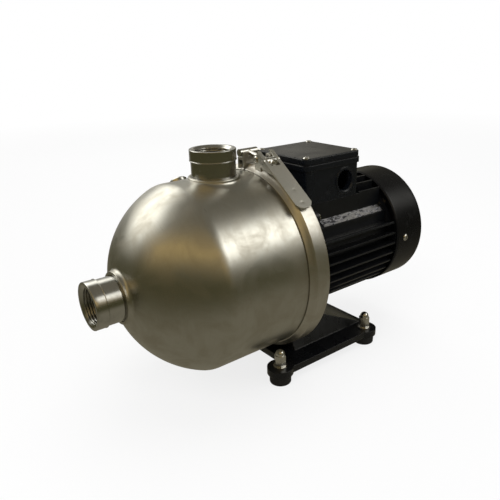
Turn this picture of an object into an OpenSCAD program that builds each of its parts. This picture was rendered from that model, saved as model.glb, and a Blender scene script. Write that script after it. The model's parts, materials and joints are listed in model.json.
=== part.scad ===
// Horizontal multistage pump: domed stainless sleeve, quick-release band clamp, finned motor,
// base plate on rubber feet. Millimetres; X runs from the suction port to the fan, Z is up,
// and the origin is on the floor at the centre of the four feet.

/* [Pump sleeve] */
// Distance from the centre of the feet forward to the clamped joint
joint_ahead = 41; // [38:1:44]
// Outer radius of the sleeve
sleeve_r = 87.5; // [86:0.5:88]
// Wall of the sleeve
sleeve_wall = 1.5; // [1:0.1:2]
// Straight length of the sleeve ahead of the joint
barrel_len = 86.2; // [82:1:96]
// How much larger the crown radius of the dome is than the sleeve
crown_more = 5.9; // [4.5:0.1:10]
// Knuckle radius between dome and barrel
knuckle_r = 22; // [12:1:30]
// Radius of the drawn collar round each port
collar_r = 23.6; // [23:0.1:26]
// How far the suction collar stands ahead of the dome
collar_lip = 1.2; // [0.8:0.1:3]
// Fillet radius at the foot of the suction collar
collar_fillet = 3.4; // [2:0.2:4]
// Height of the discharge collar above the barrel
collar_rise = 1.7; // [1:0.1:3]
// Fillet radius at the foot of the discharge collar
collar_flare = 8; // [6:0.5:10]

/* [Ports] */
// Outer radius of both port sockets
port_r = 21; // [20.5:0.1:22]
// Minor radius of the port thread
port_thread_r = 15.15; // [14.5:0.05:15.6]
// Usable depth of the port thread
port_thread_len = 17; // [14:1:20]
// Clear radius of the port behind its thread
port_throat_r = 14.2; // [12:0.2:14.4]
// Radius at the mouth of the thread chamfer
port_mouth_r = 17.6; // [17:0.1:18.5]
// Depth of the mouth chamfer
port_chamfer = 2.4; // [1.5:0.1:3]
// Length of the outer band of a port
port_band = 10.1; // [8:0.5:12]
// Step in radius behind that band
port_step = 0.35; // [0.2:0.05:0.6]
// How far the suction mouth stands ahead of the dome
suction_reach = 25.6; // [24:0.2:32]
// Distance from the joint forward to the discharge axis
discharge_ahead = 47.1; // [44:0.5:60]
// How far the discharge mouth stands above the barrel
discharge_reach = 26; // [24:0.5:34]

/* [Plugs] */
// Distance from the joint forward to the filling and draining plugs
plug_ahead = 54; // [50:0.5:60]
// Angle of the filling plug from the top towards the far side
fill_angle = 36; // [34:1:50]
// Thread radius of a plug
plug_r = 6.5; // [5:0.1:8]
// Radius of the round plug head
plug_head_r = 9; // [8.4:0.1:11]
// Height of the plug head
plug_head_h = 4; // [3:0.5:6]
// Socket size of the plug across flats
plug_socket = 6; // [5:0.5:7]
// Radius of the boss under a plug
plug_boss_r = 11; // [10:0.5:12]
// Height of that boss above the barrel
plug_boss_h = 1.6; // [1:0.2:3]

/* [Hydraulics] */
// Outer radius of a stage chamber
chamber_r = 56; // [52:0.5:58]
// Sheet thickness of chambers and impellers
stage_sheet = 1.2; // [0.8:0.1:1.6]
// Length of one stage
stage_pitch = 30; // [28:0.5:30.5]
// Radius of an impeller
impeller_r = 47; // [42:0.5:49]
// Flow width of an impeller
impeller_width = 10; // [8:0.5:11]
// Radius of the impeller eye
eye_r = 17.4; // [16:0.2:18]
// Radial width of a neck ring
neck_ring_w = 2.3; // [1.5:0.1:3]
// Length of a neck ring
neck_ring_len = 3.4; // [3:0.1:4]
// Vanes of one impeller
impeller_vanes = 6; // [5:1:8]
// Return vanes of one chamber
return_vanes = 8; // [6:1:10]
// Radius of the impeller hub
hub_r = 10; // [9:0.5:11]
// Length of the impeller hub
hub_len = 12; // [10:0.5:13]
// Length of the outlet cage between the stages and the seal plate
cage_len = 15; // [12:1:18]
// Windows in the outlet cage
cage_windows = 8; // [6:1:10]

/* [Shaft and seal] */
// Shaft radius in the stages
pump_shaft_r = 6; // [5:0.5:6.5]
// Shaft radius at the seal
seal_shaft_r = 7; // [6.8:0.1:7.2]
// Shaft radius at the bearings
bearing_shaft_r = 7.5; // [7.4:0.1:8]
// Shaft radius in the rotor core
rotor_shaft_r = 10; // [9:0.5:11]
// Shaft radius at the fan
fan_shaft_r = 6; // [5:0.5:7]
// Radius of the rotating seal unit
seal_unit_r = 13.5; // [12:0.5:14]
// Length of the rotating seal unit
seal_unit_len = 12; // [11:0.5:13]
// Outer radius of the stationary seat
seal_seat_r = 14.5; // [13.5:0.5:16]
// Length of the shaft nut
shaft_nut_len = 5; // [4:0.5:6]

/* [Clamp] */
// Thickness of the flange at the rear of the sleeve
sleeve_flange_t = 2.8; // [2:0.2:4]
// How far the clamped flanges stand above the barrel
flange_lift = 1.7; // [1.2:0.1:2]
// Thickness of the rim of the seal plate
seal_rim_t = 1.6; // [1.2:0.1:2]
// Thickness of the flange of the motor stool
stool_flange_t = 2.6; // [2:0.2:3]
// How far the band's rear rim stands out from its legs
band_rise = 5.2; // [4.8:0.1:6.2]
// The same just behind the sloped front edge
band_front_rise = 3.3; // [3:0.1:3.8]
// Length of the band along the shaft
band_len = 20.5; // [20:0.5:22]
// How far the band reaches ahead of the joint
band_ahead = 10.6; // [9.5:0.1:11]
// Width of the sloped front edge of the band
bead_w = 6.8; // [6.2:0.1:7]
// Gap between the two ends of the band
band_split = 2.4; // [1.5:0.1:4]
// Angle of the split from the top towards the far side
split_angle = 2.2; // [1:0.2:4]
// Sheet thickness of the lever and its lugs
lever_sheet = 1.6; // [1.2:0.1:2]
// Width of the lever
lever_w = 18.4; // [17.6:0.2:20]
// Length of the lever from its pivot to its tip
lever_len = 67.8; // [63:0.4:70]
// Slope of the closed lever below the horizontal
lever_slope = 36.5; // [35:0.5:38]
// How far the lever's top face stands out from the band's rear rim
lever_lift = 2.9; // [2.4:0.1:4]
// Distance of the lever pivot beyond the tangent point of the strip
pivot_back = 48.5; // [47.5:0.5:52]
// Radius of the pivot rivets
rivet_r = 2; // [1.6:0.1:2.4]
// Distance between the pivot and the bolt trunnion
throw = 9; // [8.8:0.1:10]
// How far the trunnion stands below the level of the pivot
throw_drop = 1.9; // [1.2:0.1:2.2]
// Radius of the trunnion on the lever
trunnion_r = 4; // [3.6:0.1:4.2]
// Radius of the T-bolt shank
bolt_r = 2.5; // [2:0.1:3]
// Radius of the T-bolt's head bar
head_bar_r = 3.6; // [3.2:0.1:4]
// Length of the T-bolt's head bar
head_bar_len = 20.4; // [18:0.2:20.4]
// Distance between the trunnion and the head bar
bolt_reach = 34; // [32:0.5:35]
// Slope of the T-bolt above the horizontal
bolt_slope = 8; // [7:0.1:10]

/* [Motor] */
// Length of the motor stool behind its flange
stool_len = 17.8; // [16:0.2:20]
// Radius of the stool behind the clamp
stool_neck_r = 60; // [58:0.5:62]
// Radius of the housing core
core_r = 50.5; // [50:0.1:51]
// Radius over the fins
fin_tip_r = 63; // [61:0.5:64]
// Thickness of a fin
fin_t = 2; // [1.6:0.1:2.6]
// Number of radial fins
fin_count = 22; // [18:1:24]
// Angle of the first radial fin from the top
first_fin = 72.5; // [70:0.5:76]
// Length of the stator housing
housing_len = 116; // [112:1:130]
// Bore radius of the housing
housing_bore_r = 48; // [47:0.5:48.5]
// Half width of the shoulder under the terminal box
shoulder_half = 37; // [36:0.2:38]
// Height of that shoulder above the axis
shoulder_top = 52; // [50:0.5:54]
// Spacing of the upright fins behind the terminal box
top_fin_pitch = 10.3; // [9.5:0.1:10.5]
// Radius over the upright fins
top_fin_r = 64.5; // [63:0.5:66]
// Distance from the front of the housing to the stator core
stator_front = 34; // [32:1:40]
// Distance from the stator core to the rear of the housing
stator_rear_room = 22; // [17:1:26]
// Inner radius of the stator core
stator_bore_r = 28.5; // [26:0.5:30]
// Length of a winding overhang
overhang = 13; // [10:1:15]
// Slots in the stator
stator_slots = 24; // [18:6:24]
// Air gap between rotor and stator
air_gap = 0.4; // [0.35:0.05:0.6]
// Outer radius of a ball bearing
bearing_r = 17.5; // [17:0.5:18.5]
// Width of a ball bearing
race_w = 11; // [10:0.5:12]
// Balls of one bearing
bearing_balls = 8; // [7:1:9]
// Length of the fan cover
cover_len = 44.8; // [43:0.2:52]
// Radius of the fan cover
cover_r = 64.4; // [64.2:0.1:66]
// Wall of the fan cover
cover_wall = 1.2; // [1:0.1:1.6]
// Edge radius at the rear of the fan cover
cover_edge_r = 5; // [3:0.5:8]
// Radius of the fan
fan_r = 58; // [50:1:59]
// Blades of the fan
fan_blades = 9; // [7:1:11]
// Width of the fan
fan_w = 18; // [14:1:20]
// Angles of the cover screws, from the top towards the near side
cover_screw_angles = [90, 210, 330];

/* [Terminal box] */
// Length of the box body
box_len = 72.1; // [68:0.1:73]
// Half width of the box body
box_half = 37.2; // [34:0.1:38]
// Height of the box body
box_h = 39; // [36:1:46]
// Wall of the box
box_wall = 2.5; // [2:0.1:3]
// Distance from the front of the housing back to the box
box_back = 9.1; // [8:0.1:11]
// Height of the lid
lid_h = 6.7; // [5:0.1:9]
// How far the lid overhangs the box
lid_over = 1.1; // [0.8:0.1:1.4]
// How far the rim under the lid stands out from the box
box_rim_out = 1.9; // [1.2:0.1:2.4]
// Height of that rim
box_rim_h = 5.2; // [4:0.2:6]
// Corner radius of the lid
lid_corner_r = 5.5; // [4.5:0.5:7]
// Minor radius of the cable entry thread
entry_r = 10.2; // [8:0.1:10.4]
// Length of the cable entry thread
entry_len = 8; // [6:0.5:9]
// Outer radius of the raised ring round the cable entry
entry_ring_r = 13.6; // [12:0.2:14]
// Height of that ring
entry_ring_h = 1; // [0.6:0.1:1.6]
// Distance from the rear of the box forward to the cable entry
entry_ahead = 19.1; // [18:0.1:22]
// Height of the cable entry above the shoulder
entry_up = 17.4; // [16.6:0.1:19]

/* [Base] */
// Distance between the feet along the shaft
feet_long = 120; // [116:1:130]
// How far the feet stand outside the raised centre of the base
feet_out = 12; // [11:0.5:16]
// Radius of a rubber foot
foot_r = 10.8; // [10:0.1:11]
// Height of a rubber foot
foot_h = 15.2; // [14:0.1:16]
// Sheet thickness of the base plate
plate_t = 1.8; // [1.5:0.1:1.8]
// Depth of the rim turned down round the plate
rim_h = 7; // [5:0.5:9]
// Radius of a corner ear
ear_r = 13; // [13:0.1:14]
// How far the front edge lies behind the front feet
front_setback = 10; // [7:0.5:13]
// How far the rear edge lies behind the rear feet
rear_overlap = 11; // [9:0.5:13]
// How far the long edges lie outside the feet
side_overlap = 9; // [7:0.5:13]
// Distance from the shaft axis down to the pad
pad_drop = 70; // [68:1:75]
// Least gap between the clamp band and the base plate
plate_clear = 2; // [2:1:20]
// Half width of the raised centre at its foot
pedestal_half = 44; // [42:0.5:46]
// Half width of the pad on top of it
pad_half = 30; // [28:0.5:32]
// Length of that pad
pad_len = 38; // [34:1:40]
// Radius of the studs in the feet
stud_r = 3; // [2.5:0.1:3.5]
// Size of the nuts across flats
nut_flats = 10; // [9.5:0.1:11]
// Height of the lower nut
nut_h = 5; // [4:0.2:6]
// Height of the hexagon of the cap nut
cap_hex_h = 6.5; // [5:0.2:8]
// Radius of the washers
washer_r = 6.8; // [6.2:0.1:8]

/* [Hidden] */
$fn = 96;
// Overrun of every cut
over = 1;
// Radial play of pieces that are fixed together
seat_gap = 0.1;
// Radial play of pieces that turn on each other
run_gap = 0.05;
// Play of pieces that pass each other
free_gap = 0.3;
// Facets of a hexagon
hex = 6;

// Heights, and the radii of the clamp band
crown_r = sleeve_r + crown_more;
feet_wide = 2 * (pedestal_half + feet_out);
leg_r = sleeve_r + free_gap;
band_rear_r = leg_r + band_rise;
band_front_r = leg_r + band_front_rise;
lever_height = band_rear_r + lever_lift;
z_plate = foot_h + plate_t;
axis_height = z_plate + plate_clear + band_rear_r;
z_pad = axis_height - pad_drop;

// Places along the shaft
x_joint = -joint_ahead;
x_tangent = x_joint - barrel_len;
x_crown = x_tangent + sqrt(pow(crown_r - knuckle_r, 2) - pow(sleeve_r - knuckle_r, 2));
x_apex = x_crown - crown_r;
x_suction = x_apex - suction_reach;
x_discharge = x_joint - discharge_ahead;
x_plug = x_joint - plug_ahead;
z_discharge = axis_height + sleeve_r + discharge_reach;

// Seal plate and outlet cage
flange_r = sleeve_r + flange_lift;
plate_dish = 6;
x_plate = x_joint - plate_dish;
x_cage = x_plate - cage_len;
x_stack = x_cage - 3 * stage_pitch;
x_seal_rear = x_joint + seal_rim_t;

// Places inside one stage, from its front
impeller_set = 5;
mid_disc_gap = 1.4;
mid_disc_set = impeller_set + impeller_width + 2 * stage_sheet + mid_disc_gap;
mid_disc_in = 6;
mid_disc_r = chamber_r - mid_disc_in;
shaft_tip = 3;
x_shaft_front = x_stack + impeller_set - shaft_nut_len - shaft_tip;
seal_seat_len = 5;
seal_lip = 1.5;
x_seal_unit = x_plate - seal_lip - seal_unit_len;

// Motor stool, housing and covers
x_stool_flange = x_seal_rear + stool_flange_t;
band_rear_x = x_joint - band_ahead + band_len;
x_stool_step = band_rear_x + free_gap * 2;
x_housing = x_stool_flange + stool_len;
x_housing_rear = x_housing + housing_len;
x_stator = x_housing + stator_front;
stator_len = housing_len - stator_front - stator_rear_room;
x_stator_rear = x_stator + stator_len;
boss_wall = 6;
boss_r = bearing_r + boss_wall;
bearing_ahead = 1;
x_drive_bearing = x_housing - bearing_ahead;
shield_t = 7;
bearing_in = 6;
x_fan_bearing = x_housing_rear - bearing_in;
cover_lap = free_gap;
x_cover = x_housing_rear + cover_lap;
x_cover_rear = x_cover + cover_len;
fan_clear = 13.5;
x_fan = x_housing_rear + shield_t + fan_clear;
shaft_short = 2;
x_shaft_rear = x_fan + fan_w - shaft_short;
lug_ring_r = 59;
lug_r = 6.5;
lug_t = 17;
lug_angles = [46, 134, 226, 314];
stool_bolt_r = 2.5;
stool_bolt_head_r = 4.2;
stool_bolt_head_h = 3.5;
cover_screw_r = 1.9;
cover_screw_head_r = 3.6;
cover_screw_back = 13;

// Terminal box
x_box = x_housing + box_back;
x_box_rear = x_box + box_len;
z_box = axis_height + shoulder_top;
z_lid = z_box + box_h;
gasket_t = 1;
screw_inset = 3.6;
lid_screw_r = 1.9;
lid_screw_head_r = 3.4;
lid_screw_head_h = 2;
post_r = 3.5;

// Base
x_edge_front = front_setback - feet_long / 2;
x_edge_rear = feet_long / 2 + rear_overlap;
y_edge = feet_wide / 2 + side_overlap;
pad_set = 1.5;
x_pad = x_stool_step + pad_set;
x_pad_rear = x_pad + pad_len;
pedestal_rear = 4;
base_bolt_r = 4;
base_bolt_head_h = 5.3;
base_bolt_flats = 13;
base_bolt_y = 17;
base_bolt_inset = 11;
washer_t = 1.2;
edge_round = 6;

// Clamp
x_band = x_joint - band_ahead;
x_band_mid = x_band + band_len / 2;
band_sheet = 1.1;
cheek_gap = 0.35;
ear_out = lever_w / 2 - lever_sheet - cheek_gap;
ear_t = 2.2;
lever_normal_y = -sin(lever_slope);
lever_normal_z = cos(lever_slope);
pivot_depth = 7.3;
pivot_y = (lever_height - pivot_depth) * lever_normal_y + pivot_back * cos(lever_slope);
pivot_z = (lever_height - pivot_depth) * lever_normal_z + pivot_back * sin(lever_slope);
trunnion_y = pivot_y - sqrt(throw * throw - throw_drop * throw_drop);
trunnion_z = pivot_z - throw_drop;
head_y = trunnion_y + bolt_reach * cos(bolt_slope);
head_z = trunnion_z + bolt_reach * sin(bolt_slope);

steel = [0.62, 0.60, 0.56];
bright = [0.75, 0.74, 0.72];
black = [0.06, 0.06, 0.07];
iron = [0.35, 0.35, 0.36];
rubber = [0.04, 0.04, 0.04];
copper = [0.72, 0.42, 0.22];

// Puts a shape drawn along Z on the shaft axis, running along X from x
module on_axis(x) {
  translate([x, 0, axis_height])
    rotate([0, 90, 0])
      children();
}

// Turns a shape round the shaft axis, from the top towards the near side
module round_axis(angle) {
  translate([0, 0, axis_height])
    rotate([angle, 0, 0])
      children();
}

module disc(x, len, r) {
  on_axis(x)
    cylinder(h = len, r = r);
}

module ring(x, len, r, bore) {
  on_axis(x)
    difference() {
      cylinder(h = len, r = r);
      translate([0, 0, -over])
        cylinder(h = len + 2 * over, r = bore);
    }
}

// A tapered disc along the shaft
module taper(x, len, r_front, r_rear) {
  on_axis(x)
    cylinder(h = len, r1 = r_front, r2 = r_rear);
}

// Half section of the domed sleeve, shrunk by inset, with its height along the shaft
module sleeve_section(inset, rear) {
  ray = crown_r * 2;
  dx = x_crown - x_tangent;
  dr = sleeve_r - knuckle_r;
  intersection() {
    translate([0, x_crown])
      circle(r = crown_r - inset);
    polygon([
      [0, x_crown],
      [0, x_crown - ray],
      [ray, x_crown - ray],
      [ray, x_crown - ray * dx / dr]
    ]);
  }
  translate([dr, x_tangent])
    circle(r = knuckle_r - inset);
  translate([0, x_tangent])
    square([sleeve_r - inset, rear - x_tangent]);
}

module sleeve_solid(inset, rear) {
  on_axis(0)
    rotate_extrude()
      sleeve_section(inset, rear);
}

// Concave ring that blends a collar into the wall round it
module collar_blend(r, fillet) {
  rotate_extrude()
    difference() {
      square([r + fillet, fillet]);
      translate([r + fillet, fillet])
        circle(r = fillet);
    }
}

module plug_place(angle) {
  translate([x_plug, 0, 0])
    round_axis(angle)
      children();
}

module pump_sleeve() {
  x_lip = x_apex - collar_lip;
  blend_x = x_crown - sqrt(pow(crown_r, 2) - pow(collar_r + collar_fillet, 2)) + sleeve_wall / 2;
  color(steel)
    difference() {
      union() {
        sleeve_solid(0, x_joint);
        disc(x_joint - sleeve_flange_t, sleeve_flange_t, flange_r);
        disc(x_lip, blend_x - x_lip, collar_r);
        on_axis(blend_x)
          mirror([0, 0, 1])
            collar_blend(collar_r, collar_fillet);
        translate([x_discharge, 0, axis_height]) {
          cylinder(h = sleeve_r + collar_rise, r = collar_r);
          translate([0, 0, sleeve_r + collar_rise - collar_flare])
            collar_blend(collar_r, collar_flare);
        }
        plug_place(-fill_angle)
          cylinder(h = sleeve_r + plug_boss_h, r = plug_boss_r);
        plug_place(180)
          cylinder(h = sleeve_r + plug_boss_h, r = plug_boss_r);
      }
      sleeve_solid(sleeve_wall, x_joint + over);
      disc(x_suction, x_crown - x_suction, port_r - port_step + seat_gap);
      translate([x_discharge, 0, axis_height])
        cylinder(h = sleeve_r + discharge_reach, r = port_r - port_step + seat_gap);
      plug_place(-fill_angle)
        cylinder(h = sleeve_r + plug_boss_h + over, r = plug_r + free_gap);
      plug_place(180)
        cylinder(h = sleeve_r + plug_boss_h + over, r = plug_r + free_gap);
    }
}

// A threaded port socket with its mouth at zero, running up Z to its inner end
module port_socket(len) {
  difference() {
    union() {
      cylinder(h = port_band, r = port_r);
      translate([0, 0, port_band])
        cylinder(h = port_step, r1 = port_r, r2 = port_r - port_step);
      cylinder(h = len, r = port_r - port_step);
    }
    translate([0, 0, -over])
      cylinder(h = port_thread_len + port_chamfer + over, r = port_thread_r);
    cylinder(h = port_chamfer, r1 = port_mouth_r, r2 = port_thread_r);
    translate([0, 0, -over])
      cylinder(h = over * 2, r = port_mouth_r);
    translate([0, 0, port_thread_len])
      cylinder(h = len, r = port_throat_r);
  }
}

module suction_port() {
  color(bright)
    on_axis(x_suction)
      port_socket(suction_reach + sleeve_wall * 3);
}

module discharge_port() {
  color(bright)
    translate([x_discharge, 0, z_discharge])
      mirror([0, 0, 1])
        port_socket(discharge_reach + sleeve_wall * 3);
}

// A round-headed socket plug standing on its boss
module socket_plug() {
  seat = sleeve_r + plug_boss_h + plug_ring_t;
  difference() {
    union() {
      translate([0, 0, seat])
        cylinder(h = plug_head_h - plug_edge, r = plug_head_r);
      translate([0, 0, seat + plug_head_h - plug_edge])
        cylinder(h = plug_edge, r1 = plug_head_r, r2 = plug_head_r - plug_edge);
      translate([0, 0, seat - plug_shank])
        cylinder(h = plug_shank + over, r = plug_r);
    }
    translate([0, 0, seat + plug_head_h - plug_socket_depth])
      cylinder(h = plug_socket_depth + over, r = plug_socket / sqrt(3), $fn = hex);
  }
}
plug_ring_t = 1.4;
plug_edge = 1;
plug_ring_in = 0.4;
plug_shank = 6;
plug_socket_depth = 3;

// The sealing ring under a plug head
module plug_ring() {
  translate([0, 0, sleeve_r + plug_boss_h])
    difference() {
      cylinder(h = plug_ring_t, r = plug_head_r - plug_ring_in);
      translate([0, 0, -over])
        cylinder(h = plug_ring_t + 2 * over, r = plug_r + free_gap);
    }
}

module fill_plug() {
  color(bright)
    plug_place(-fill_angle)
      socket_plug();
}

module fill_plug_ring() {
  color(rubber)
    plug_place(-fill_angle)
      plug_ring();
}

module drain_plug() {
  color(bright)
    plug_place(180)
      socket_plug();
}

module drain_plug_ring() {
  color(rubber)
    plug_place(180)
      plug_ring();
}

// Leads the water from the suction port to the first impeller
module inlet_guide() {
  x_front = x_suction + suction_reach + sleeve_wall * 3;
  x_cone = x_stack - guide_cone;
  color(steel)
    on_axis(0)
      rotate_extrude()
        polygon([
          [port_throat_r, x_front],
          [port_throat_r + guide_wall, x_front],
          [port_throat_r + guide_wall, x_cone],
          [chamber_r, x_stack - guide_wall],
          [chamber_r, x_stack],
          [chamber_r - guide_wall, x_stack],
          [port_throat_r, x_cone + guide_wall]
        ]);
}
guide_wall = 2;
guide_cone = 12;

// One stage chamber: shell, disc behind the impeller, return vanes and rear disc
module chamber(stage) {
  x = x_stack + (stage - 1) * stage_pitch;
  x_mid = x + mid_disc_set;
  x_back = x + stage_pitch - stage_sheet;
  last = stage == 3;
  color(steel) {
    difference() {
      union() {
        ring(x, stage_pitch, chamber_r, chamber_r - stage_sheet);
        disc(x_back, stage_sheet, chamber_r);
        disc(x_mid, stage_sheet, mid_disc_r);
        for (i = [0 : return_vanes - 1])
          round_axis(i * 360 / return_vanes)
            translate([x_mid, -stage_sheet / 2, eye_r + neck_ring_w + vane_gap])
              cube([x_back - x_mid + stage_sheet / 2, stage_sheet,
                chamber_r - stage_sheet / 2 - eye_r - neck_ring_w - vane_gap]);
      }
      disc(x_mid - over, stage_sheet + 2 * over, hub_r + hub_play);
      disc(x_back - over, stage_sheet + 2 * over, last ? mid_disc_r - collector_w : eye_r + neck_ring_w);
      if (last)
        ring(x_mid + stage_sheet, x_back - x_mid, mid_disc_r - collector_w, 0);
    }
  }
}

vane_gap = 4;
hub_play = 1;
collector_w = 8;

module chamber_1() {
  chamber(1);
}

module chamber_2() {
  chamber(2);
}

module chamber_3() {
  chamber(3);
}

// Wear rings round the eyes of the second and third impellers, and a front disc for the first
module neck_rings() {
  color(black) {
    for (stage = [1 : 2])
      ring(x_stack + stage * stage_pitch - neck_ring_len / 2, neck_ring_len,
        eye_r + neck_ring_w - seat_gap, eye_r + free_gap);
    ring(x_stack, stage_sheet, chamber_r - stage_sheet - seat_gap, eye_r + free_gap);
  }
}

// One closed impeller with its eye tube, two shrouds, vanes and hub
module impeller(stage) {
  x = x_stack + (stage - 1) * stage_pitch;
  x_front = x + impeller_set;
  x_rear = x_front + impeller_width + stage_sheet;
  color(bright) {
    ring(x - stage_sheet, impeller_set + stage_sheet * 2, eye_r, eye_r - stage_sheet);
    ring(x_front, stage_sheet, impeller_r, eye_r - stage_sheet);
    ring(x_rear, stage_sheet, impeller_r, pump_shaft_r + seat_gap);
    difference() {
      union() {
        disc(x_rear + stage_sheet - hub_len, hub_len, hub_r);
        for (i = [0 : impeller_vanes - 1])
          round_axis(i * 360 / impeller_vanes)
            on_axis_vane(x_front + stage_sheet / 2, impeller_width + stage_sheet);
      }
      disc(x_front - hub_len, hub_len * 3, pump_shaft_r + seat_gap);
    }
  }
}

// A swept-back vane, drawn round the shaft axis
module on_axis_vane(x, len) {
  vane_r = impeller_r * vane_curve_share;
  translate([x, 0, 0])
    rotate([0, 90, 0])
      linear_extrude(len)
        intersection() {
          difference() {
            circle(r = impeller_r - seat_gap);
            circle(r = hub_r + vane_gap);
          }
          translate([0, vane_r])
            difference() {
              circle(r = vane_r);
              circle(r = vane_r - stage_sheet);
            }
          translate([-impeller_r * 2, 0])
            square([impeller_r * 2, impeller_r * 2]);
        }
}
vane_curve_share = 0.75;

module impeller_1() {
  impeller(1);
}

module impeller_2() {
  impeller(2);
}

module impeller_3() {
  impeller(3);
}

// Distance tubes between the impeller hubs, and one back to the seal unit
module shaft_spacers() {
  hub_end = impeller_set + impeller_width + 2 * stage_sheet;
  tube_len = stage_pitch - hub_len;
  color(steel) {
    for (stage = [0 : 1])
      ring(x_stack + stage * stage_pitch + hub_end, tube_len, hub_r - tube_in, pump_shaft_r + seat_gap);
    ring(x_stack + 2 * stage_pitch + hub_end, x_seal_unit - x_stack - 2 * stage_pitch - hub_end,
      hub_r - tube_in / 2, seal_shaft_r + seat_gap);
  }
}

tube_in = 2;

// The hexagon nut that holds the impellers on the shaft
module shaft_nut() {
  hub_front = impeller_set + impeller_width + 2 * stage_sheet - hub_len;
  color(bright)
    on_axis(x_stack + hub_front - shaft_nut_len)
      difference() {
        cylinder(h = shaft_nut_len, r = hub_r - tube_in / 2, $fn = hex);
        translate([0, 0, -over])
          cylinder(h = shaft_nut_len + 2 * over, r = pump_shaft_r + seat_gap);
      }
}

// Holds the last chamber off the seal plate and lets the water out to the sleeve
module outlet_cage() {
  color(steel)
    difference() {
      ring(x_cage, cage_len, chamber_r, chamber_r - guide_wall);
      for (i = [0 : cage_windows - 1])
        round_axis(i * 360 / cage_windows)
          translate([x_cage + cage_len / 4, -cage_len / 2, chamber_r - guide_wall - over])
            cube([cage_len / 2, cage_len, guide_wall + 2 * over]);
    }
}

// Closes the rear of the sleeve and carries the stationary seal seat
module seal_plate() {
  spigot_r = sleeve_r - sleeve_wall - seat_gap;
  color(steel)
    difference() {
      union() {
        disc(x_plate, plate_dish, spigot_r);
        disc(x_joint, seal_rim_t, flange_r);
      }
      disc(x_plate + guide_wall, plate_dish + seal_rim_t, seal_plate_dish_r);
      disc(x_plate - over, plate_dish, seal_seat_r + seat_gap);
      ring(x_joint - ring_groove_ahead - seal_ring_r * 2, seal_ring_r * 2, sleeve_r,
        spigot_r - seal_ring_r * 2 + seal_squeeze);
    }
  color(steel)
    ring(x_plate, plate_dish + seal_rim_t, seal_seat_r + seat_wall, seal_seat_r + seat_gap);
}
seal_plate_dish_r = 78;
seat_wall = 4;
ring_groove_ahead = 1.6;
seal_ring_r = 1.2;
seal_squeeze = 0.1;

// The O-ring between seal plate and sleeve
module sleeve_ring() {
  color(rubber)
    on_axis(x_joint - ring_groove_ahead - seal_ring_r)
      rotate_extrude()
        translate([sleeve_r - sleeve_wall - seat_gap / 2 - seal_ring_r, 0])
          circle(r = seal_ring_r - seat_gap / 2);
}

module seal_seat() {
  color(bright)
    ring(x_plate, seal_seat_len, seal_seat_r, seal_shaft_r + hub_play);
}

// Rotating part of the shaft seal, with its bellows folded round the shaft
module seal_unit() {
  x_face = x_plate - seal_lip;
  color(iron)
    difference() {
      union() {
        disc(x_face - seal_unit_len, seal_unit_len, seal_unit_r);
        disc(x_face, seal_lip - run_gap, seal_unit_r - nose_in);
      }
      disc(x_face - seal_unit_len - over, seal_unit_len + seal_lip + 2 * over,
        seal_shaft_r + seat_gap);
      for (i = [0 : 2])
        ring(x_face - seal_unit_len + (i + 1) * fold_pitch, fold_w, seal_unit_r + over,
          seal_unit_r - fold_deep);
    }
}

nose_in = 2;
fold_pitch = 3;
fold_w = 1;
fold_deep = 1.5;

// One stepped shaft from the first impeller to the fan
module shaft() {
  x_seal_start = x_stack + 2 * stage_pitch + impeller_set + impeller_width + 2 * stage_sheet;
  color(bright) {
    disc(x_shaft_front, x_seal_start - x_shaft_front, pump_shaft_r);
    disc(x_seal_start, x_drive_bearing - shoulder_len - x_seal_start, seal_shaft_r);
    disc(x_drive_bearing - shoulder_len, race_w + shoulder_len, bearing_shaft_r);
    disc(x_drive_bearing + race_w, x_fan_bearing - x_drive_bearing - race_w, rotor_shaft_r);
    disc(x_fan_bearing, race_w, bearing_shaft_r);
    disc(x_fan_bearing + race_w, x_shaft_rear - x_fan_bearing - race_w, fan_shaft_r);
  }
}
shoulder_len = 8;

// Section of the clamp band: sloped front edge, outer band and the legs inside
module band_section() {
  polygon([
    [leg_r, x_band + band_lip],
    [leg_r + band_lip, x_band],
    [bead_mid_r, x_band + bead_w / 2],
    [band_front_r, x_band + bead_w],
    [band_rear_r, band_rear_x - band_sheet],
    [band_rear_r - band_sheet / 2, band_rear_x],
    [leg_r, band_rear_x],
    [leg_r, x_stool_flange + seat_gap],
    [flange_r + seat_gap, x_stool_flange + seat_gap],
    [flange_r + seat_gap, x_joint - sleeve_flange_t - seat_gap],
    [leg_r, x_joint - sleeve_flange_t - seat_gap]
  ]);
}
band_lip = 1;
bead_swell_share = 0.62;
bead_mid_r = leg_r + band_lip + (band_front_rise - band_lip) * bead_swell_share;

module clamp_band() {
  color(bright)
    difference() {
      on_axis(0)
        rotate_extrude()
          band_section();
      round_axis(-split_angle)
        translate([x_band - over, -band_split / 2, sleeve_r - over])
          cube([band_len + 2 * over, band_split, band_rear_r]);
    }
}

// The outer shape of the band, larger by gap, that its fittings stand on
module band_envelope(gap) {
  on_axis(0)
    rotate_extrude()
      polygon([
        [0, x_band - over],
        [leg_r + band_lip + gap, x_band - over],
        [leg_r + band_lip + gap, x_band],
        [bead_mid_r + gap, x_band + bead_w / 2],
        [band_front_r + gap, x_band + bead_w],
        [band_rear_r + gap, band_rear_x - band_sheet],
        [band_rear_r + gap, band_rear_x + over],
        [0, band_rear_x + over]
      ]);
}

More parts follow.
